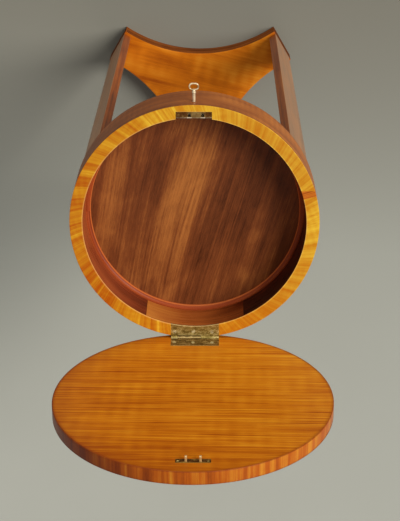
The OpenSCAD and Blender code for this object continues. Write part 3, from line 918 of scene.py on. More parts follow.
class Workshop:
    """Makes each finish once, and hands pieces and nodes to their bodies."""

    def __init__(self, frame: dict) -> None:
        """Keeps the frame and starts with no material made.
        """
        self.frame = frame
        self.finishes = Finishes()
        self.made: dict[str, Material] = {}

    def material(self, finish: WoodFinish | MetalFinish) -> Material:
        """The material of a finish, made the first time it is asked for.

        Args:
            finish: the finish.

        Returns:
            Its material.
        """
        if finish.name not in self.made:
            self.made[finish.name] = finish.build()
        return self.made[finish.name]

    def fit(self, piece: Piece, body: Body, finish: WoodFinish | MetalFinish, node: str) -> None:
        """Dresses a piece, lets it ride on its body and stand for its node, and reports it.

        Args:
            piece: the finished object.
            body: what it rides on.
            finish: its finish.
            node: the CAD node that it stands for.
        """
        piece.data.materials.append(self.material(finish))
        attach(piece, body.value)
        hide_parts(node)
        log.info("%s: %d faces, rides on %s", piece.name, len(piece.data.polygons), body.value)

    def dress(self, node: str, finish: WoodFinish | MetalFinish) -> None:
        """Gives a CAD node that stays its finish.

        Args:
            node: its name.
            finish: its finish.
        """
        shown = self.frame["nodes"][node]
        shown.data.materials.clear()
        shown.data.materials.append(self.material(finish))
        log.info("%s: CAD node, %s", node, finish.name)


# The drum


@dataclass
class Drum:
    """The shallow round box: side, rim, lining, floor and bead."""

    outer: float = 182.0
    inner: float = 163.0
    foot: float = 642.0
    floor: float = 653.0
    wall_top: float = 712.8
    rim: float = 714.0
    hinge_half: float = 36.0
    lock_half: float = 25.6
    lock_deep: float = 9.1
    lock_foot: float = 684.9
    patch_cut: float = -53.3
    patch_from: float = 194.4
    patch_gap: float = 0.12
    seams: tuple[float, ...] = (185.3, 181.0)
    seam_half: float = 0.06
    veneer: float = 1.0
    block_half: float = 73.0
    block_thick: float = 4.0
    board_in: float = 2.9
    bead_high: float = 6.0
    bead_wide: float = 7.5
    window: float = 12.0
    window_below: float = 14.0
    window_above: float = 9.0
    step: float = 0.022

    def build(self, shop: Workshop) -> None:
        """Builds and dresses every piece of the drum.

        Args:
            shop: dresses the pieces.
        """
        f = shop.finishes
        shop.fit(self.side_veneer(), Body.STAND, f.side, "drum_side_veneer")
        shop.fit(self.rim_banding(), Body.STAND, f.rim, "rim_banding")
        shop.fit(self.rim_patch(), Body.STAND, f.rim_patch, "rim_banding_patch")
        shop.fit(self.lining(), Body.STAND, f.lining, "drum_lining")
        shop.fit(self.hinge_block(), Body.STAND, f.block, "hinge_backing_block")
        shop.fit(self.bottom_board(), Body.STAND, f.board, "drum_bottom_board")
        shop.fit(self.floor_bead(), Body.STAND, f.bead, "floor_bead")
        shop.dress("drum_wall", f.inner_mahogany)

    def top_edge(self, angle: np.ndarray, radius: float) -> np.ndarray:
        """Height of the wall's top under the banding, lower where the hinge is let in.

        At the hinge it is the lower of the leaf's recess and the round hollow for the knuckles,
        hinge_z - sqrt(scoop^2 - (y - hinge_y)^2).

        Args:
            angle: (n,) angles round the axis, in radians.
            radius: distance from the axis.

        Returns:
            Heights (n,).
        """
        x, y = radius * np.cos(angle), radius * np.sin(angle)
        hinge = ButtHinge()
        hollow = np.sqrt(np.clip(hinge.scoop**2 - (y - hinge.y) ** 2, 0, None))
        low = np.minimum(self.rim - hinge.thick, np.where(hollow > 0, hinge.z - hollow, self.rim))
        return np.where((np.abs(x) < self.hinge_half + 0.02) & (y > 0), low, self.wall_top)

    def side_veneer(self) -> Piece:
        """The outside: a closed thin ring with a rubbed lower arris, a hinge notch and a keyhole.

        A point is (r cos a, r sin a, foot + t * (top(a) - foot)); round the keyhole the cells are
        left out, and rays from the key's axis run from the hole to the edge of the opening.

        Returns:
            The piece.
        """
        key = Key()
        right = math.acos(self.hinge_half / self.outer)
        left = math.pi - right
        window = math.asin(self.window / self.outer)
        start, front = left - math.tau, -math.pi / 2
        before = [start, start + NOTCH_GAP, front - window]
        angles = spread([*before, front + window, right - NOTCH_GAP, right, left], self.step)
        top = self.top_edge(angles, self.outer)
        low, high = key.z - self.window_below, key.z + self.window_above
        arris = np.array([[0.6, 0.0], [0.18, 0.02], [0.02, 0.18], [0.0, 0.7]])
        levels = [*(self.foot + arris[:, 1]), self.foot + 14, self.foot + 28, low, (low + high) / 2, high]
        z = np.stack([*(level + 0 * top for level in levels), top, top, self.foot + 0 * top])
        inset = np.array([*arris[:, 0], *[0.0] * (len(z) - len(arris) - 2), self.veneer, self.veneer])
        points = around((self.outer - inset)[:, None], angles, z)
        points = np.concatenate([points, points[:1]])
        skip = np.zeros((len(points) - 1, len(angles) - 1), bool)
        slack = NOTCH_GAP / 2
        between = (angles[:-1] > front - window - slack) & (angles[1:] < front + window + slack)
        skip[levels.index(low) : levels.index(high), between] = True
        wear_and_light = np.zeros(points.shape[:2])
        wear_and_light[[1, 2]] = 0.7
        wear_and_light[len(levels)] = 0.35
        core = (0, 0, self.wall_top)
        grain = grid(angles * self.outer, points[..., 2]) / 1000
        skin = Skin().add(points, grain, wrap=True, wrap_rows=True, core=core, skip=skip, wear_and_light=wear_and_light)
        skin.add(*self.keyhole_patch(key, low, high), wrap=True, core=core)
        return skin.piece("side_veneer")

    def keyhole_patch(self, key: "Key", low: float, high: float) -> tuple[np.ndarray, np.ndarray]:
        """The veneer round the keyhole, from the window's edge to the hole and back through it.

        Along a ray at angle p from straight down, the hole's edge is at the larger of its round
        part and its slot, min(slot / |sin p|, drop / cos p); the window's edge is where the ray
        meets the window's sides. Both are then laid on the cylinder, y = -sqrt(r^2 - x^2).

        Args:
            key: for the hole's place and size.
            low, high: the window's heights.

        Returns:
            Points and grain coordinates.
        """
        p = circle(97)
        s, c = np.sin(p), np.cos(p)
        slot = np.minimum(key.slot_half / (np.abs(s) + TINY), key.slot_drop / np.maximum(c, TINY))
        hole = np.maximum(key.hole, np.where(c > 0, slot, 0))
        level = np.where(c > 0, key.z - low, high - key.z) / (np.abs(c) + TINY)
        edge = np.minimum(self.window / (np.abs(s) + TINY), level)
        share = np.linspace(0, 1, 7)[:, None]
        reach = np.concatenate([edge * (1 - share) + hole * share, hole[None]])
        radius = np.array([*[self.outer] * len(share), self.outer - self.veneer])[:, None]
        x, z = reach * s, key.z - reach * c
        turn = -math.pi / 2 + np.arcsin(x / radius)
        return grid(x, -np.sqrt(radius**2 - x**2), z), grid(turn * self.outer, z) / 1000

    def arc(self, radius: float, start: float, end: float, count: int) -> np.ndarray:
        """Points on a circle at the rim's height, (r cos a, r sin a, rim)."""
        return around(radius, np.linspace(start, end, count), self.rim)

    def rim_section(self) -> np.ndarray:
        """The banding's section: flat, with soft edges."""
        return plate_rows(0.35, 0.5, self.rim - self.wall_top, 10)

    def rim_length(
        self, skin: Skin, inner: np.ndarray, outer: np.ndarray, seams: Sequence[float] = ()
    ) -> None:
        """Adds one length of the banding between two curves, closed at both ends.

        The grain runs round the rim: the first coordinate is the turn times the outer radius. At -X
        the ring is darker where it runs aslant, by |x y| / r^2.

        Args:
            skin: what it is added to.
            inner, outer: the curves.
            seams: angles of its joints, drawn dark.
        """
        points = strip(inner, outer, self.rim_section())
        x, y = points[..., 0], points[..., 1]
        turn = np.unwrap(np.arctan2(y, x), axis=1)
        wear_and_light = -1.0 * np.clip(-x, 0, None) * np.abs(y) / (x**2 + y**2)
        # Inner arris lighter: rubbed wear and a painted highlight
        wear_and_light[1:6] = 0.45
        wear_and_light[-6:-2] = -0.25
        for seam in seams:
            off = np.abs(np.angle(np.exp(1j * (turn - seam)))) * self.inner
            wear_and_light = np.where(off < self.seam_half, -0.9, wear_and_light)
        skin.band(points, grid(turn * self.outer, np.hypot(x, y)) / 1000, wear_and_light)

    def rim_banding(self) -> Piece:
        """The golden ring on the rim, in lengths between hinge, lock and the let-in piece.

        Returns:
            The piece.
        """
        skin = Skin()
        inner, outer, lock, hinge = self.inner, self.outer, self.lock_half, self.hinge_half

        def at_x(x: float, radius: float, back: bool) -> float:
            """Angle of the point of a circle at this X, on its back or front half."""
            turn = math.acos(x / radius)
            return turn if back else -turn

        pair = [self.arc(r, at_x(lock, r, False), at_x(hinge, r, True), 130) for r in (inner, outer)]
        self.rim_length(skin, *pair)
        stops = [math.radians(seam - 360) for seam in sorted(self.seams)]
        before = {r: self.patch_ends(r)[0] - self.patch_gap / r for r in (inner, outer)}
        pair = [self.seamed(r, at_x(-hinge, r, True) - math.tau, stops, end) for r, end in before.items()]
        self.rim_length(skin, *pair, stops)
        behind = {r: self.patch_ends(r)[1] + self.patch_gap / r for r in (inner, outer)}
        pair = [self.arc(r, start, at_x(-lock, r, False), 60) for r, start in behind.items()]
        self.rim_length(skin, *pair)
        x = np.linspace(-lock, lock, 24)
        edge = grid(x, -np.sqrt(outer**2 - x**2), self.rim)
        self.rim_length(skin, grid(x, -inner - self.lock_deep, self.rim), edge)
        return skin.piece("rim_ring")

    def patch_ends(self, radius: float) -> tuple[float, float]:
        """Angles of the let-in piece's two ends: a radial one, and one that is cut along X."""
        return math.radians(self.patch_from - 360), math.asin(-self.patch_cut / radius) - math.pi

    def seamed(self, radius: float, start: float, stops: Sequence[float], end: float) -> np.ndarray:
        """An arc with three close stations at each seam, and even steps between them.

        Args:
            radius: its radius.
            start, end: its two angles.
            stops: the seams' angles.

        Returns:
            Points (n, 3).
        """
        fine = 0.25 / self.inner
        breaks = [start, *(stop + side * fine for stop in stops for side in (-1, 0, 1)), end]
        counts = [34, *[1, 1, 12] * len(stops)]
        stretches = zip(breaks[:-1], breaks[1:], counts)
        parts = [np.linspace(a, b, n, endpoint=False) for a, b, n in stretches]
        return around(radius, np.concatenate([*parts, [end]]), self.rim)

    def rim_patch(self) -> Piece:
        """The darker piece let into the banding, with its grain across the rim.

        Returns:
            The piece.
        """
        inner, outer = (self.arc(r, *self.patch_ends(r), 12) for r in (self.inner, self.outer))
        points = strip(inner, outer, self.rim_section())
        x, y = points[..., 0], points[..., 1]
        turn = np.mod(np.arctan2(y, x), math.tau)
        grain = grid(np.hypot(x, y), turn * self.outer) / 1000
        return Skin().band(points, grain).piece("rim_let_in_piece")

    def wall_face(self, angles: np.ndarray, thick: float, name: str, cut_lock: bool) -> Piece:
        """A thin curved board on the inside of the wall, from the floor to under the banding.

        Its face is (r cos a, r sin a, floor + t * (top(a) - floor)), its back is thick further out.

        Args:
            angles: where it runs, rising.
            thick: its thickness.
            name: its name.
            cut_lock: whether the lock's opening is left out.

        Returns:
            The piece.
        """
        top = self.top_edge(angles, self.inner)
        levels = [self.floor, self.floor + 6, self.lock_foot, self.wall_top - 4]
        z = np.stack([*(level + 0 * top for level in levels), top, top, self.floor + 0 * top])
        on_back = (np.arange(len(z)) > len(levels))[:, None]
        points = around(self.inner + thick * on_back, angles, z)
        points = np.concatenate([points, points[:1]])
        skip = np.zeros((len(points) - 1, len(angles) - 1), bool)
        if cut_lock:
            middle = (angles[:-1] + angles[1:]) / 2
            opening = np.abs(self.inner * np.cos(middle)) < self.lock_half
            skip[levels.index(self.lock_foot) : len(levels) + 1, opening & (np.sin(middle) < 0)] = True
        wear_and_light = np.zeros(points.shape[:2])
        wear_and_light[len(levels)] = 0.3
        grain = grid(angles * self.inner, points[..., 2]) / 1000
        skin = Skin().add(points, grain, wrap_rows=True, core=(0, 0, self.wall_top), skip=skip, wear_and_light=wear_and_light)
        inside = points[:, len(angles) // 2].mean(0)
        return skin.cap(points[:, 0], inside).cap(points[:, -1], inside).piece(name)

    def block_ends(self) -> tuple[float, float]:
        """The angles of the backing block's two ends."""
        turn = math.asin(self.block_half / self.inner)
        return math.pi / 2 - turn, math.pi / 2 + turn

    def lining(self) -> Piece:
        """The dark veneer inside, from one end of the block round the front to the other.

        Returns:
            The piece.
        """
        low, high = self.block_ends()
        lock, front = math.asin(self.lock_half / self.inner), -math.pi / 2
        stops = [high - math.tau + BLOCK_GAP, front - lock, front + lock, low - BLOCK_GAP]
        return self.wall_face(spread(stops, self.step), self.veneer, "inside_veneer", True)

    def hinge_block(self) -> Piece:
        """The plainer block behind the hinge, with the leaf's recess in its top.

        Returns:
            The piece.
        """
        low, high = self.block_ends()
        right = math.acos(self.hinge_half / self.inner)
        left = math.pi - right
        stops = [low + BLOCK_GAP, right - NOTCH_GAP, right, left, left + NOTCH_GAP, high - BLOCK_GAP]
        return self.wall_face(spread(stops, self.step), self.block_thick, "hinge_block", False)

    def bottom_board(self) -> Piece:
        """The floor of the drum: a closed disc, its grain nearly along Y.

        Across the grain a point is x - y tan(lean), where the lean is 13 - 4 tanh((x - 60) / 60)
        degrees, so 17 at -X and 9 at +X.

        Returns:
            The piece.
        """
        rim, soft = self.inner + self.board_in, 0.5
        r = [np.linspace(0, rim - soft, 26), [rim, rim, rim - soft], np.linspace(rim - soft, 0, 8)]
        z = [np.full(26, self.floor), [self.floor - soft, self.foot + soft, self.foot], np.full(8, self.foot)]
        points = revolve(grid(np.concatenate(r), np.concatenate(z)), circle(145))
        x, y = points[..., 0], points[..., 1]
        lean = np.radians(13.0 - 4.0 * np.tanh((x - 60) / 60))
        grain = grid(y, x - y * np.tan(lean)) / 1000
        core = (0, 0, (self.foot + self.floor) / 2)
        return Skin().add(points, grain, core=core, **DISC).piece("floor_board")

    def floor_bead(self) -> Piece:
        """The quarter-round bead in the corner, with a fine flat behind it, a painted highlight along its
        round and painted shade over its top.

        Returns:
            The piece.
        """
        h = self.bead_high
        a = np.linspace(math.pi, math.pi / 2, 12)
        middle, top, back = self.inner - self.bead_wide + h, self.floor + h, self.inner - 0.02
        arc = grid(middle + h * np.cos(a), self.floor + h * np.sin(a))
        flat = [[middle + 0.25, top - 0.35], [middle + 0.5, top - 0.05], [back, top - 0.05]]
        points = revolve(np.concatenate([arc, flat, [[back, self.floor]], arc[:1]]), circle(289))
        wear_and_light = np.zeros(points.shape[:2])
        # Painted highlight low on the round's inner side, painted shade over its top
        wear_and_light[2:5] = 0.8
        wear_and_light[6:11] = -0.15
        skin = Skin().add(points, wrap=True, wrap_rows=True, core=(0, 0, self.floor), wear_and_light=wear_and_light)
        return skin.piece("bead_ring")


# The lid


@dataclass
class Lid:
    """The round lid, worked out closed: two veneered faces and a banded edge."""

    radius: float = 194.94
    edge: float = 1.2
    face: float = 714.4
    thick: float = 19.0
    veneer: float = 1.0
    arris: float = 0.6
    leaf_half: float = 36.0
    leaf_from: float = 155.6
    leaf_to: float = 185.0
    link_middle: float = -3.2
    link_half: float = 23.0
    link_from: float = -172.5
    link_to: float = -162.5

    def build(self, shop: Workshop) -> None:
        """Builds and dresses the lid's woods.

        Args:
            shop: dresses the pieces.
        """
        f = shop.finishes
        shop.fit(self.inner_veneer(), Body.LID, f.lid_face, "lid_inner_veneer")
        shop.fit(self.top_veneer(), Body.LID, f.lid_outside, "lid_top_veneer")
        shop.fit(self.edge_banding(), Body.LID, f.lid_edge, "lid_edge_banding")
        shop.dress("lid_core", f.core)

    def rim_y(self, x: np.ndarray) -> np.ndarray:
        """Half the depth of the veneer at X: sqrt(r^2 - x^2)."""
        r = self.radius - self.edge
        return np.sqrt(np.clip(r**2 - x**2, 0, None))

    def field(self, skin: Skin, x: np.ndarray, low: np.ndarray | float, high: np.ndarray | float) -> None:
        """Adds the part of the inner veneer between two curves: y = low(x) + t * (high(x) - low(x)).

        The rows crowd towards both curves, t = (1 - cos(k pi / 48)) / 2. Towards the border the
        colour turns to the darker, redder edge colour: strongly on the outermost 4 mm, fading out over
        32 mm, more so at +X.

        Args:
            skin: what it is added to.
            x: (n,) stations.
            low, high: the two curves, (n,) or one number.
        """
        z, back = self.face, self.face + self.veneer
        t = 0.5 - 0.5 * np.cos(np.linspace(0, math.pi, 49))[:, None]
        y = low * (1 - t) + high * t
        face, behind = grid(x, y, z), grid(x, y, back)
        points = np.concatenate([face, behind[::-1], face[:1]])
        inside = self.radius - self.edge - np.hypot(points[..., 0], points[..., 1])
        broad = 0.16 + 0.14 * np.clip(points[..., 0] / 120, -1, 1)
        wear_and_light = 0.45 * np.clip(1 - inside / 4, 0, 1) + broad * np.clip(1 - inside / 32, 0, 1)
        core = (float(x.mean()), float(y.mean()), (z + back) / 2)
        skin.add(points, points[..., :2] / 1000, wrap_rows=True, core=core, wear_and_light=wear_and_light)

    def inner_veneer(self) -> Piece:
        """The face that shows when the lid is open, with openings for hinge leaf and link plate.

        Returns:
            The piece.
        """
        skin = Skin()
        link = (self.link_middle - self.link_half, self.link_middle + self.link_half)
        sides = (self.radius - self.edge) * np.sin(np.linspace(0, math.pi / 2, 40))
        right = np.concatenate([[self.leaf_half], sides[sides > self.leaf_half + 1]])
        for x in (right, -right[::-1]):
            self.field(skin, x, -self.rim_y(x), self.rim_y(x))
        for ends in ((-self.leaf_half, link[0]), (link[1], self.leaf_half)):
            x = np.linspace(*ends, 4)
            self.field(skin, x, -self.rim_y(x), self.leaf_from)
        x = np.linspace(*link, 10)
        self.field(skin, x, self.link_to, self.leaf_from)
        self.field(skin, x, -self.rim_y(x), self.link_from)
        x = np.linspace(-self.leaf_half, self.leaf_half, 16)
        self.field(skin, x, self.leaf_to, self.rim_y(x))
        return skin.piece("lid_inner_face", turn_open=True)

    def top_veneer(self) -> Piece:
        """The lid's outer face: a closed disc.

        Returns:
            The piece.
        """
        r, soft = self.radius - self.edge, 1.5
        z, back = self.face + self.thick, self.face + self.thick - self.veneer
        radii = np.concatenate([np.linspace(0, r, 20), np.linspace(r, 0, 20)])
        points = revolve(grid(radii, np.repeat([z, back], 20)), circle(181))
        wear_and_light = 0.4 * np.clip((np.hypot(points[..., 0], points[..., 1]) - (r - soft)) / soft, 0, 1)
        skin = Skin().add(points, points[..., :2] / 1000, core=(0, 0, (z + back) / 2), wear_and_light=wear_and_light, **DISC)
        return skin.piece("lid_outer_face", turn_open=True)

    def edge_banding(self) -> Piece:
        """The veneer round the edge, its grain across, with softened arrises, darker towards +X as painted
        shade.

        Returns:
            The piece.
        """
        soft, back = rounded(self.arris), self.radius - self.edge
        low, high = self.face, self.face + self.thick
        lower = grid(self.radius + soft[:, 1], low + soft[:, 0])[::-1]
        side = grid(self.radius, np.linspace(low + self.arris, high - self.arris, 8)[1:-1])
        upper = grid(lower[::-1, 0], low + high - lower[::-1, 1])
        profile = np.concatenate([[[back, low]], lower, side, upper, [[back, high], [back, low]]])
        points = revolve(profile, circle(361))
        grain = grid(along(points, 0), circle(361) * self.radius / 1000)
        # Painted shade towards +X; the two arrises are rubbed lighter
        wear_and_light = -0.65 * np.clip((points[..., 0] - 60) / 100, 0, 1)
        wear_and_light[0:4] = 0.8
        wear_and_light[-5:] = 0.6
        skin = Skin().add(points, grain, wrap=True, wrap_rows=True, core=(0, 0, (low + high) / 2), wear_and_light=wear_and_light)
        return skin.piece("lid_edge_veneer", turn_open=True)


# Legs and plinth


@dataclass
class Legs:
    """Three plank legs with their tenons."""

    outer: float = 178.0
    wide: float = 53.0
    thick: float = 13.5
    foot: float = 38.0
    head: float = 642.0
    tenon_wide: float = 36.0
    tenon_thick: float = 6.0
    tenon: float = 22.0
    arris: float = 0.5

    def build(self, shop: Workshop) -> None:
        """Builds and dresses the three legs.

        Args:
            shop: dresses the pieces.
        """
        for name, angle in (("back", 90), ("left", 210), ("right", 330)):
            made = self.leg("leg_plank_" + name, math.radians(angle), angle / 97)
            shop.fit(made, Body.STAND, shop.finishes.leg, "leg_" + name)

    def leg(self, name: str, angle: float, seed: float) -> Piece:
        """One leg: a rounded rectangle carried up Z, small at the tenons, its outer face paler and greyer as
        a painted sheen.

        Args:
            name: its name.
            angle: where it stands round the axis, in radians.
            seed: how far its grain is shifted, in metres.

        Returns:
            The piece.
        """
        board = rounded_box(self.thick, self.wide, self.arris, 6)
        tenon = rounded_box(self.tenon_thick, self.tenon_wide, self.arris, 6)
        body = np.linspace(self.foot, self.head, 26)
        low, high, tip = self.foot - self.tenon, self.head + self.tenon, 0.6
        shape = np.stack([0.96 * tenon, tenon, tenon, *[board] * len(body), tenon, tenon, 0.96 * tenon])
        heights = np.array([low, low + tip, self.foot, *body, self.head, high - tip, high])[:, None]
        middle = self.outer - self.thick / 2
        out, side = outward(angle)
        flat = (middle + shape[..., :1]) * out + shape[..., 1:] * side
        points = grid(flat[..., 0], flat[..., 1], heights)
        grain = grid(heights / 1000 + seed, along(board, 0) + seed)
        core = (*(middle * out), (self.foot + self.head) / 2)
        flat_half = np.array([self.thick, self.wide]) / 2 - self.arris
        on_arris = (np.abs(board) > flat_half).all(-1)
        # Outer face: painted sheen towards the pale edge colour; arrises rubbed
        wear_and_light = np.where(board[:, 0] > flat_half[0], 0.45, np.where(on_arris, 0.25, 0.0))
        skin = Skin().add(points, grain, wrap=True, core=core, wear_and_light=wear_and_light)
        return skin.cap(points[0], core).cap(points[-1], core).piece(name)


@dataclass
class Plinth:
    """The slab with three hollowed sides: golden face, dark edging."""

    corner: float = 178.0
    corner_half: float = 31.5
    waist: float = 74.0
    thick: float = 38.0
    veneer: float = 1.0
    edging: float = 2.0
    lift: float = 0.4
    mitre: float = 0.14

    def build(self, shop: Workshop) -> None:
        """Builds and dresses the plinth.

        Args:
            shop: dresses the pieces.
        """
        f = shop.finishes
        shop.fit(self.top_face(), Body.STAND, f.plinth_face, "plinth_top_veneer")
        for name, away in (("front", 90), ("right", 210), ("left", 330)):
            made = self.side_edging(name, away)
            shop.fit(made, Body.STAND, f.edging, "plinth_edging_" + name)
        shop.fit(self.corner_edgings(), Body.STAND, f.edging, "plinth_corner_edgings")
        shop.dress("plinth_core", f.core)

    @property
    def hollow(self) -> tuple[float, float]:
        """Where a side's arc lies.

        Returns:
            Distance from the axis to the arc's middle, and its radius.
        """
        half_turn = math.radians(60)
        reach = self.corner * math.cos(half_turn) + self.corner_half * math.sin(half_turn)
        across = self.corner * math.sin(half_turn) - self.corner_half * math.cos(half_turn)
        rise = reach - self.waist
        radius = (rise**2 + across**2) / (2 * rise)
        return self.waist + radius, radius

    def hollow_arc(self, away: float, corner: float, inset: float, count: int) -> np.ndarray:
        """A side's arc between the corners' faces: middle - R (cos b, sin b) turned to the side.

        The arc meets a face at distance c from the axis at b = 30 degrees + asin((c - m / 2) / R).

        Args:
            away: the angle of the leg that the side faces away from, in degrees.
            corner: distance of the corners' faces.
            inset: how far the arc is drawn back into the slab.
            count: points.

        Returns:
            Points (count, 2), anticlockwise about the axis.
        """
        middle, radius = self.hollow
        radius += inset
        end = math.radians(30) + math.asin((corner - middle / 2) / radius)
        b = np.linspace(-end, end, count)[:, None]
        out, side = outward(math.radians(away + 180))
        return (middle - radius * np.cos(b)) * out + radius * np.sin(b) * side

    def outline(self) -> np.ndarray:
        """The slab's outline, closed and anticlockwise: side, corner, side, corner, side, corner.

        Returns:
            Points (n, 2), the last equal to the first.
        """
        parts = []
        y = np.linspace(-self.corner_half, self.corner_half, 8)[1:-1, None]
        for away in (90, 210, 330):
            out, side = outward(math.radians(away + 240))
            parts += [self.hollow_arc(away, self.corner, 0, 40), self.corner * out + y * side]
        return np.concatenate([*parts, parts[0][:1]])

    def top_face(self) -> Piece:
        """The golden face: rays from the axis to the outline, with painted shade by the legs' feet, and a
        soft edge.

        Returns:
            The piece.
        """
        inner_rays = np.linspace(0, 1, 14)[:-1] ** 0.8 * 0.996
        share = np.array([*inner_rays, 0.9975, 0.9993, 1.0, 1.0, 0.0])
        drop = np.array([*(0 * inner_rays), 0.0, 0.08, 0.3, self.veneer, self.veneer])
        flat = share[:, None, None] * self.outline()
        points = grid(flat[..., 0], flat[..., 1], self.thick - drop[:, None])
        # Painted shade by the legs' feet, beyond 150 mm from the axis
        wear_and_light = -0.6 * np.clip(np.hypot(flat[..., 0], flat[..., 1]) / 30 - 5, 0, 1)
        skin = Skin().add(points, flat / 1000, core=(0, 0, self.thick - self.veneer / 2), wear_and_light=wear_and_light, **DISC)
        return skin.piece("plinth_face")

    def upright_band(self, skin: Skin, face: np.ndarray, back: np.ndarray, shade: float = 0.0) -> None:
        """Adds a board that stands on its edge between two curves, with soft edges.

        A point is face * (1 - w) + back * w at height z, for a section row (w, z).

        Args:
            skin: what it is added to.
            face, back: (m, 2) plan curves of its face and its back.
            shade: painted shade, how dark it is, 0 to -1.
        """
        low, high, soft = self.lift, self.thick - self.veneer, 0.35
        z = np.array([low, low + soft, *np.linspace(low + 2, high - 1, 10), high, high, low, low])[:, None]
        w = np.array([soft / self.edging, 0, *np.zeros(10), 0, 1, 1, soft / self.edging])[:, None, None]
        flat = face * (1 - w) + back * w
        wear_and_light = np.full(flat.shape[:2], shade)
        # Painted shade on the lower arris, by the floor
        wear_and_light[:2] = -0.4
        skin.band(grid(flat[..., 0], flat[..., 1], z), wear_and_light=wear_and_light)

    def side_edging(self, name: str, away: float) -> Piece:
        """The edging of one hollowed side.

        Args:
            name: the side's name.
            away: the angle of the leg that it faces away from, in degrees.

        Returns:
            The piece.
        """
        skin = Skin()
        corner = self.corner - self.edging
        face, back = (self.hollow_arc(away, corner, inset, 60) for inset in (0, self.edging))
        self.upright_band(skin, face, back)
        return skin.piece("plinth_side_" + name)

    def corner_edgings(self) -> Piece:
        """The edging of the three cut-off corners, mitred to the sides', drawn darker as painted shade.

        Returns:
            The piece.
        """
        skin = Skin()
        y = np.linspace(-1, 1, 10)[:, None]
        for angle in (90, 210, 330):
            out, side = outward(math.radians(angle))
            face = self.corner * out + y * self.corner_half * side
            back = (self.corner - self.edging) * out + y * (self.corner_half - self.mitre) * side
            # Painted shade over the whole corner edging
            self.upright_band(skin, face, back, -0.6)
        return skin.piece("plinth_corners")


# Brass


def screw_head(
    skin: Skin, at: Sequence[float], radius: float, shank: float, length: float, turn: float, up: int
) -> None:
    """Adds a countersunk slotted screw.

    The head's face is a fan of rings, lowered where |distance from the slot's line| is under half
    the slot's width; below it the profile narrows to the shank and a short point.

    Args:
        skin: what it is added to.
        at: the middle of its face.
        radius: the head's.
        shank: the shank's radius.
        length: the whole length.
        turn: the slot's angle, in radians.
        up: 1 where it faces up, -1 where it faces down.
    """
    deep = radius - shank
    face = np.linspace(0, radius - 0.12, 12)
    r = np.concatenate([face, [radius, radius, shank, shank, shank * 0.5, 0]])
    z = np.concatenate([0 * face, [-0.1, -0.25, -deep, -length * 0.75, -length * 0.9, -length]])
    points = revolve(grid(r, z), circle(49))
    off = np.abs(-points[..., 0] * math.sin(turn) + points[..., 1] * math.cos(turn))
    on_face = (np.arange(len(r)) <= len(face))[:, None]
    cut = np.clip((radius * 0.15 - off) / (radius * 0.05) + 0.5, 0, 1)
    points[..., 2] -= np.where(on_face, 0.4 * deep * cut, 0)
    points[..., 2] *= up
    rubbed = np.clip(1.4 - 1.6 * r / radius, 0, 1)[:, None]
    wear_and_light = np.where(on_face, 0.75 * rubbed * (1 - cut), 0)
    middle = np.asarray(at, float)
    skin.add(points + middle, core=middle + [0, 0, -up * length / 3], wear_and_light=wear_and_light, **DISC)


def countersunk(
    points: np.ndarray, rows: slice, centres: Sequence[Sequence[float]], radius: float, down: float
) -> None:
    """Sinks round hollows for screw heads into the top rows of a plate.

    The depth at distance d from a hollow's middle is the radius plus a little less d, at most 1.2.

    Args:
        points: (n, m, 3), changed in place.
        rows: the rows of the plate's face.
        centres: the hollows' middles.
        radius: their radius.
        down: -1 for a plate that faces up, 1 for one that faces down.
    """
    for centre in centres:
        d = np.hypot(points[rows, :, 0] - centre[0], points[rows, :, 1] - centre[1])
        points[rows, :, 2] += down * np.clip(radius + 0.1 - d, 0, 1.2)


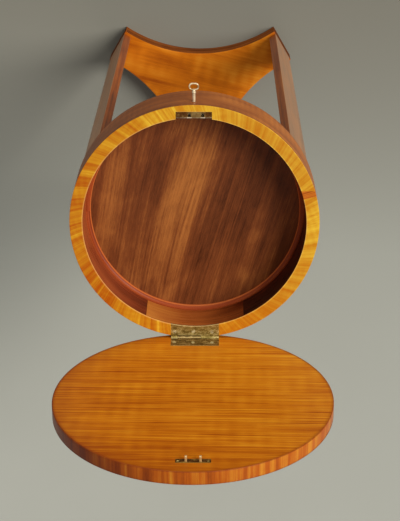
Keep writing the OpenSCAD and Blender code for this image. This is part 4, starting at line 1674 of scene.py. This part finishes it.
@dataclass
class ButtHinge:
    """The brass hinge: a leaf on the rim, a leaf on the lid, and their knuckles."""

    y: float = 182.1
    z: float = 714.2
    half: float = 36.0
    knuckle: float = 2.6
    pin: float = 1.25
    scoop: float = 2.9
    thick: float = 1.8
    lid_leaf: float = 26.5
    left_to: float = -8.64
    right_from: float = 25.92
    gap: float = 0.3
    rim: float = 714.0
    lid_face: float = 714.4
    drum_inner: float = 163.0
    screws: tuple[float, ...] = (-25.7, 2.5, 30.7)
    drum_screw_y: float = 172.6
    lid_screw_y: float = 167.35
    head: float = 3.1
    shank: float = 1.6
    screw_long: float = 12.0

    @staticmethod
    def opened(points: np.ndarray) -> np.ndarray:
        """Turns the closed lid's points a quarter turn back about the hinge's pin."""
        y, z = ButtHinge.y, ButtHinge.z
        return np.stack([points[..., 0], y + points[..., 2] - z, z + y - points[..., 1]], -1)

    def build(self, shop: Workshop) -> None:
        """Builds and dresses the hinge.

        Args:
            shop: dresses the pieces.
        """
        f = shop.finishes
        shop.fit(self.drum_leaf(), Body.STAND, f.brass, "hinge_leaf_drum")
        shop.fit(self.lid_leaf_piece(), Body.LID, f.shaded_lid_leaf_brass, "hinge_leaf_lid")
        screws = self.screws_in(self.drum_screw_y, self.rim, 1, "drum")
        shop.fit(screws, Body.STAND, f.screw_brass, "hinge_screws_drum")
        screws = self.screws_in(self.lid_screw_y, self.lid_face, -1, "lid")
        shop.fit(screws, Body.LID, f.screw_brass, "hinge_screws_lid")
        shop.dress("hinge_pin", f.steel)

    def barrel(self, skin: Skin, start: float, end: float, join: float, lit: float) -> None:
        """Adds one knuckle, a tube along X, (y, z) + k (cos t, sin t), and the web that joins its leaf.

        Args:
            skin: what it is added to.
            start, end: its stretch of X.
            join: height of the leaf's face where it runs into the knuckle.
            lit: the angle round the pin, in degrees, of a painted highlight line; the rest of the knuckle is
                a little darker.
        """
        t = circle(41)
        hole, soft, k = self.pin + 0.05, 0.2, self.knuckle
        r = np.array([hole, k - soft, k, k, k - soft, hole, hole])[:, None]
        x = np.array([start, start, start + soft, end - soft, end, end, start])[:, None]
        points = grid(x, self.y + r * np.cos(t), self.z + r * np.sin(t))
        # Painted highlight along one line of the knuckle, a little darker elsewhere
        off = np.angle(np.exp(1j * (t - math.radians(lit))))
        wear_and_light = -0.15 + 0.9 * np.exp(-((off / 0.35) ** 2))
        skin.add(points, wrap=True, wrap_rows=True, core=((start + end) / 2, self.y, self.z), wear_and_light=wear_and_light)
        low, high = sorted((join, join - self.thick if join == self.rim else join + self.thick))
        y = np.array([-self.scoop - 0.2, -1.4, -1.4, -self.scoop - 0.2, -self.scoop - 0.2])[:, None]
        z = np.array([low, low, high, high, low])[:, None]
        skin.band(grid(np.linspace(start, end, 3), self.y + y, z))

    def leaf(self, near: np.ndarray, far: np.ndarray, up: int, centres: Sequence[Sequence[float]]) -> Skin:
        """A leaf: a flat strip between two curves with hollows for its screws.

        Its near edge is rubbed. The drum's leaf has a painted highlight, then painted shade, along the lid's
        knuckle.

        Args:
            near, far: (m, 3) curves of its two long edges, on its face.
            up: 1 where it faces up, -1 where it faces down.
            centres: its screws.

        Returns:
            The skin.
        """
        points = strip(near, far, plate_rows(0.25, 0.1, self.thick, 56), (0, 0, up))
        countersunk(points, slice(5, 63), centres, self.head, -up)
        wear_and_light = np.zeros(points.shape[:2])
        wear_and_light[1:8] = 0.85
        if up > 0:
            open_part = (near[:, 0] > self.left_to) & (near[:, 0] < self.right_from)
            # Painted highlight, then painted shade in the gap beside the lid's knuckle
            wear_and_light[-14:-10, open_part] = 0.5
            wear_and_light[-10:-3, open_part] = -0.9
        return Skin().band(points, wear_and_light=wear_and_light)

    def drum_leaf(self) -> Piece:
        """The leaf on the rim, its inner edge following the drum's inside.

        Returns:
            The piece.
        """
        x = np.linspace(-self.half, self.half, 241)
        near = grid(x, np.sqrt(self.drum_inner**2 - x**2), self.rim)
        far = grid(x, self.y - self.scoop, self.rim)
        skin = self.leaf(near, far, 1, [(s, self.drum_screw_y) for s in self.screws])
        self.barrel(skin, -self.half, self.left_to, self.rim, 50)
        self.barrel(skin, self.right_from, self.half, self.rim, 100)
        return skin.piece("hinge_plate_drum")

    def lid_leaf_piece(self) -> Piece:
        """The leaf on the lid, worked out closed.

        Returns:
            The piece.
        """
        x = np.linspace(-self.half, self.half, 241)
        near, far = (grid(x, self.y - reach, self.lid_face) for reach in (self.lid_leaf, self.scoop))
        skin = self.leaf(near, far, -1, [(s, self.lid_screw_y) for s in self.screws])
        self.barrel(skin, self.left_to + self.gap, self.right_from - self.gap, self.lid_face, 215)
        return skin.piece("hinge_plate_lid", turn_open=True)

    def screws_in(self, y: float, z: float, up: int, name: str) -> Piece:
        """The three screws of a leaf, each slot turned as it happened to stop.

        Args:
            y, z: place of their row and height of their heads.
            up: 1 where they face up, -1 where they face down.
            name: the leaf's name.

        Returns:
            The piece.
        """
        skin = Skin()
        for x, turn in zip(self.screws, (0.4, 2.1, 1.2)):
            screw_head(skin, (x, y, z), self.head, self.shank, self.screw_long, turn, up)
        return skin.piece("hinge_screw_heads_" + name, turn_open=up < 0)


@dataclass
class LinkPlate:
    """The plate on the lid with the two staples that the lock takes."""

    middle: float = -3.2
    half: float = 23.0
    y: float = -167.5
    deep: float = 10.0
    thick: float = 1.6
    face: float = 714.4
    pitch: float = 18.8
    staple_wide: float = 3.0
    staple_deep: float = 4.6
    staple_edge: float = 0.35
    tip: float = 706.4
    eye: float = 3.0
    eye_z: float = 709.1
    screw_in: float = 3.6
    head: float = 1.9
    shank: float = 0.95
    screw_long: float = 10.0

    def build(self, shop: Workshop) -> None:
        """Builds and dresses plate, staples and screws.

        Args:
            shop: dresses the pieces.
        """
        f = shop.finishes
        shop.fit(self.plate(), Body.LID, f.link_brass, "link_plate")
        shop.fit(self.staples(), Body.LID, f.staple_brass, "link_staples")
        shop.fit(self.screws(), Body.LID, f.brass, "link_screws")

    @property
    def screw_places(self) -> list[tuple[float, float]]:
        """The two screws' places."""
        return [(self.middle + side * (self.half - self.screw_in), self.y) for side in (-1, 1)]

    def plate(self) -> Piece:
        """The flat plate with its two hollows.

        Returns:
            The piece.
        """
        x = np.linspace(self.middle - self.half, self.middle + self.half, 155)
        near, far = (grid(x, self.y + side * self.deep / 2, self.face) for side in (-1, 1))
        points = strip(near, far, plate_rows(0.2, 0.2, self.thick, 34), (0, 0, -1))
        countersunk(points, slice(5, 41), self.screw_places, self.head, 1)
        wear_and_light = np.zeros(points.shape[:2])
        wear_and_light[1:10] = 0.6
        wear_and_light[-8:-2] = 0.4
        return Skin().band(points, wear_and_light=wear_and_light).piece("link_plate_face", turn_open=True)

    def staples(self) -> Piece:
        """Two loops: a flat bar with rounded edges, its end round and its eye a slot.

        Round the eye's middle, a ring runs from the eye's edge to the bar's outline and back,
        once on each side of the bar; the outline is the box's, with its tip's corners rounded.

        Returns:
            The piece.
        """
        skin = Skin()
        p = circle(65)
        c, s = np.cos(p), np.sin(p)
        edge = self.staple_edge
        half, hole, wide = self.staple_deep / 2, self.eye / 2, self.staple_wide / 2
        reach_z = np.where(s > 0, self.face + self.thick - self.eye_z, self.eye_z - self.tip)
        box = np.minimum(half / (np.abs(c) + TINY), reach_z / (np.abs(s) + TINY))
        soft = np.where(s < 0, np.minimum(box, half * 1.12), box)
        eye = np.minimum(hole / np.maximum(np.abs(c), np.abs(s)), hole * 1.2)
        reach = np.stack([eye + edge, soft - edge, soft, soft, soft - edge, eye + edge, eye, eye, eye + edge])
        depth = np.array([wide, wide, wide - edge, edge - wide, -wide, -wide, edge - wide, wide - edge, wide])
        for side in (-1, 1):
            x = self.middle + side * self.pitch / 2 + depth[:, None]
            points = grid(x, self.y + reach * c, self.eye_z + reach * s)
            skin.add(points, wrap=True, wrap_rows=True, core=points.reshape(-1, 3).mean(0), wear_and_light=0.6)
        return skin.piece("link_staple_loops", turn_open=True)

    def screws(self) -> Piece:
        """The plate's two screws.

        Returns:
            The piece.
        """
        skin = Skin()
        for (x, y), turn in zip(self.screw_places, (0.9, 2.6)):
            screw_head(skin, (x, y, self.face), self.head, self.shank, self.screw_long, turn, -1)
        return skin.piece("link_screw_heads", turn_open=True)


@dataclass
class Key:
    """The piped key, in the lock and turned level."""

    z: float = 695.0
    pipe: float = 2.2
    bore: float = 1.25
    hole: float = 2.8
    slot_half: float = 1.5
    slot_drop: float = 7.8
    mouth: float = -164.7
    bow_from: float = -209.0
    bow_long: float = 11.0
    bow_wide: float = 15.0
    ring: float = 2.3
    flat: float = 2.4
    bit_reach: float = 7.2
    bit_deep: float = 5.3
    bit_thick: float = 2.0
    bore_long: float = 12.0

    def build(self, shop: Workshop) -> None:
        """Builds and dresses the key."""
        whole = self.bit(self.bow(self.shank(Skin()))).piece("key_whole")
        shop.fit(whole, Body.KEY, shop.finishes.key_brass, "key")

    def shank(self, skin: Skin) -> Skin:
        """Adds the shank, a profile (radius, distance along the axis) turned about the key's axis.

        Args:
            skin: what it is added to.

        Returns:
            The skin.
        """
        collar = self.bow_from + self.bow_long
        neck = collar - self.ring / 2
        foot, bore, pipe, mouth = self.mouth - self.bore_long + 1, self.bore, self.pipe, self.mouth
        outline = np.array([
            [0.0, foot], [bore, foot], [bore, mouth - 0.15], [bore + 0.15, mouth], [pipe - 0.25, mouth],
            [pipe, mouth - 0.25], [pipe, collar + 4.6], [pipe + 0.15, collar + 4.0], [2.75, collar + 3.7],
            [2.9, collar + 3.2], [2.9, collar + 2.6], [2.6, collar + 2.2], [2.2, collar + 2.0],
            [2.2, collar + 1.7], [2.6, collar + 1.5], [2.7, collar + 1.1], [2.4, collar + 0.7],
            [1.9, collar + 0.3], [1.6, collar - 0.2], [1.5, neck], [0.0, neck],
        ])
        t = circle(41)
        r, y = outline[:, :1], outline[:, 1:]
        points = grid(r * np.cos(t), y, self.z + r * np.sin(t))
        return skin.add(points, core=(0, -190, self.z), wear_and_light=0.65, **DISC)

    def bow(self, skin: Skin) -> Skin:
        """Adds the bow: an oval section carried round a stadium.

        Args:
            skin: what it is added to.

        Returns:
            The skin.
        """
        radius = self.bow_long / 2 - self.ring / 2
        half = self.bow_wide / 2 - self.bow_long / 2
        a = circle(65)
        out = grid(np.cos(a), np.sin(a), 0)
        centre = grid(np.sign(np.round(np.cos(a), 6)) * half, 0, 0)
        middle = np.array([0, self.bow_from + self.bow_long / 2, self.z])
        section = ring_of(self.ring / 2, self.flat / 2, 20)
        bow = sweep(section, middle + centre + radius * out, out, np.array([0.0, 0.0, 1.0]))
        wear_and_light = 0.1 + 0.4 * (bow[..., 1] < middle[1] - 3)
        return skin.add(bow, wrap=True, wrap_rows=True, core=middle, wear_and_light=wear_and_light)

    def bit(self, skin: Skin) -> Skin:
        """Adds the bit: a rounded flat with two notches filed into its end.

        The notches are 1.3 * exp(-(d / width)^4) deep at distance d from their middles.

        Args:
            skin: what it is added to.

        Returns:
            The skin.
        """
        section = rounded_box(self.bit_deep, self.bit_thick, 0.3, 12)
        run = section[:, :1]
        across = np.linspace(self.pipe - 0.5, self.bit_reach, 30)
        notch = 1.3 * (np.exp(-(((run - 1.0) / 0.45) ** 4)) + np.exp(-(((run + 1.2) / 0.4) ** 4)))
        reach = across - notch * np.clip((across - 4.6) / 2.6, 0, 1)
        middle = self.mouth - 0.2 - self.bit_deep / 2
        return skin.band(grid(reach, middle + run, self.z + section[:, 1:]))


@dataclass
class BoxLock:
    """The lock, whose CAD pieces stay: strip and case, cap, bolt, spring, pin and screws."""

    back: float = 163.0
    top: float = 714.0

    def build(self, shop: Workshop) -> None:
        """Dresses the lock's nodes.

        Args:
            shop: dresses them.
        """
        f = shop.finishes
        for node in ("lock_case", "lock_cap", "lock_cap_screws", "lock_screws"):
            shop.dress(node, f.lock_brass)
        shop.dress("lock_bolt", f.bright_brass)
        for node in ("lock_drill_pin", "lock_bolt_spring"):
            shop.dress(node, f.steel)


# Studio


@dataclass
class Studio:
    """Camera, floor, lamp and world."""

    camera_at: tuple[float, float, float] = (-0.0343496, -0.765069, 2.6012775)
    right: tuple[float, float, float] = (-0.99991638, 0.00329242, -0.01250534)
    up: tuple[float, float, float] = (0.00196633, -0.91708869, -0.39867840)
    back: tuple[float, float, float] = (-0.01278113, -0.39866965, 0.91700553)
    lens: float = 96.737
    key_from: tuple[float, float, float] = (-0.62, -0.30, 0.72)
    front_from: tuple[float, float, float] = (0.0, -1.0, 0.14)
    back_from: tuple[float, float, float] = (-0.35, 0.93, 0.14)
    key_level: float = 0.92
    front_level: float = 0.30
    back_level: float = 0.17
    sky: float = 0.28
    lamplight: Colour = (1.0, 0.985, 0.96)
    skylight: Colour = (0.98, 0.99, 1.0)
    backdrop: Colour = screen(186, 186, 178)

    def build(self) -> None:
        """Makes the whole studio."""
        self.camera()
        self.floor()
        self.lamp("key_lamp", self.key_from, 32, self.key_level)
        self.lamp("front_fill", self.front_from, 30, self.front_level)
        self.lamp("back_fill", self.back_from, 30, self.back_level)
        self.world()
        bpy.context.scene.view_settings.view_transform = "Standard"

    def camera(self) -> None:
        """The camera, where the photograph's was."""
        data = bpy.data.cameras.new("camera")
        data.sensor_fit = "AUTO"
        data.sensor_width = 36.0
        data.lens = self.lens
        data.clip_start, data.clip_end = 0.05, 100.0
        made = bpy.data.objects.new("camera", data)
        turn = Matrix((self.right, self.up, self.back)).transposed().to_4x4()
        made.matrix_world = Matrix.Translation(self.camera_at) @ turn
        bpy.context.scene.collection.objects.link(made)
        bpy.context.scene.camera = made

    def floor(self) -> None:
        """A plain pale floor, painted a little lighter towards the back as a painted fall of light, that runs
        into the backdrop's colour.
        """
        r = np.array([0.0, 1, 2, 4, 8, 14]) * 1000
        points = revolve(grid(r, 0 * r), circle(65))
        skin = Skin().add(points, points[..., :2] / 1000, wrap=True, pole_first=True, core=(0, 0, -1000))
        made = skin.piece("floor")
        w = Wiring("studio_floor")
        source = w.source(Coords.PLACE)
        # Painted fall of light: darker towards -Y, lighter towards +Y
        share = w.span(w.split(source)[1], -0.3, 1.0)
        stops = ((0.0, screen(125, 122, 110)), (0.5, screen(163, 163, 152)), (1.0, screen(175, 175, 164)))
        mottle = w.noise(w.place(source, (240, 240)), 3)
        colour = w.blend(w.span(mottle, 0.3, 0.7, (0, 0.05)), w.ramp(share, stops), screen(140, 138, 128))
        far = w.node("ShaderNodeVectorMath", {0: source}, operation="LENGTH").outputs["Value"]
        colour = w.blend(w.span(far, 1.4, 6.0), colour, self.backdrop)
        made.data.materials.append(w.finish(colour, 0.85, mottle, 0.1, Specular_IOR_Level=0.1))

    def lamp(self, name: str, way: Sequence[float], wide: float, level: float) -> None:
        """One far, soft lamp.

        Its strength is level * pi, at which a white surface that faces it gives back that level.

        Args:
            name: its name.
            way: the direction that it stands in.
            wide: how wide it looks from the table, in degrees.
            level: how bright it makes a surface that faces it.
        """
        data = bpy.data.lights.new(name, "SUN")
        data.angle = math.radians(wide)
        data.energy = level * math.pi
        data.color = self.lamplight
        made = bpy.data.objects.new(name, data)
        towards = Vector(way).normalized()
        made.location = towards * 4.0
        made.rotation_mode = "QUATERNION"
        made.rotation_quaternion = towards.to_track_quat("Z", "Y")
        bpy.context.scene.collection.objects.link(made)

    def world(self) -> None:
        """An even sky that lights at one level and shows as a pale grey."""
        world = bpy.data.worlds.new("studio_sky")
        bpy.context.scene.world = world
        world.use_nodes = True
        tree = world.node_tree
        tree.nodes.clear()
        ray = tree.nodes.new("ShaderNodeLightPath")
        seen = tree.nodes.new("ShaderNodeMath")
        seen.operation = "MAXIMUM"
        tree.links.new(ray.outputs["Is Camera Ray"], seen.inputs[0])
        tree.links.new(ray.outputs["Is Glossy Ray"], seen.inputs[1])
        light = tree.nodes.new("ShaderNodeBackground")
        light.inputs["Color"].default_value = (*self.skylight, 1.0)
        light.inputs["Strength"].default_value = self.sky
        shown = tree.nodes.new("ShaderNodeBackground")
        shown.inputs["Color"].default_value = (*self.backdrop, 1.0)
        shown.inputs["Strength"].default_value = 1.0
        both = tree.nodes.new("ShaderNodeMixShader")
        tree.links.new(seen.outputs[0], both.inputs[0])
        tree.links.new(light.outputs[0], both.inputs[1])
        tree.links.new(shown.outputs[0], both.inputs[2])
        output = tree.nodes.new("ShaderNodeOutputWorld")
        tree.links.new(both.outputs[0], output.inputs[0])


def main() -> None:
    """Loads the frame, builds the table piece by piece and the studio."""
    logging.basicConfig(level=logging.INFO, format="%(message)s")
    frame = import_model()
    shop = Workshop(frame)
    for assembly in (Drum(), Lid(), Legs(), Plinth(), ButtHinge(), LinkPlate(), Key(), BoxLock()):
        assembly.build(shop)
        log.info("%s is done", type(assembly).__name__)
    Studio().build()


if __name__ == "__main__":
    main()
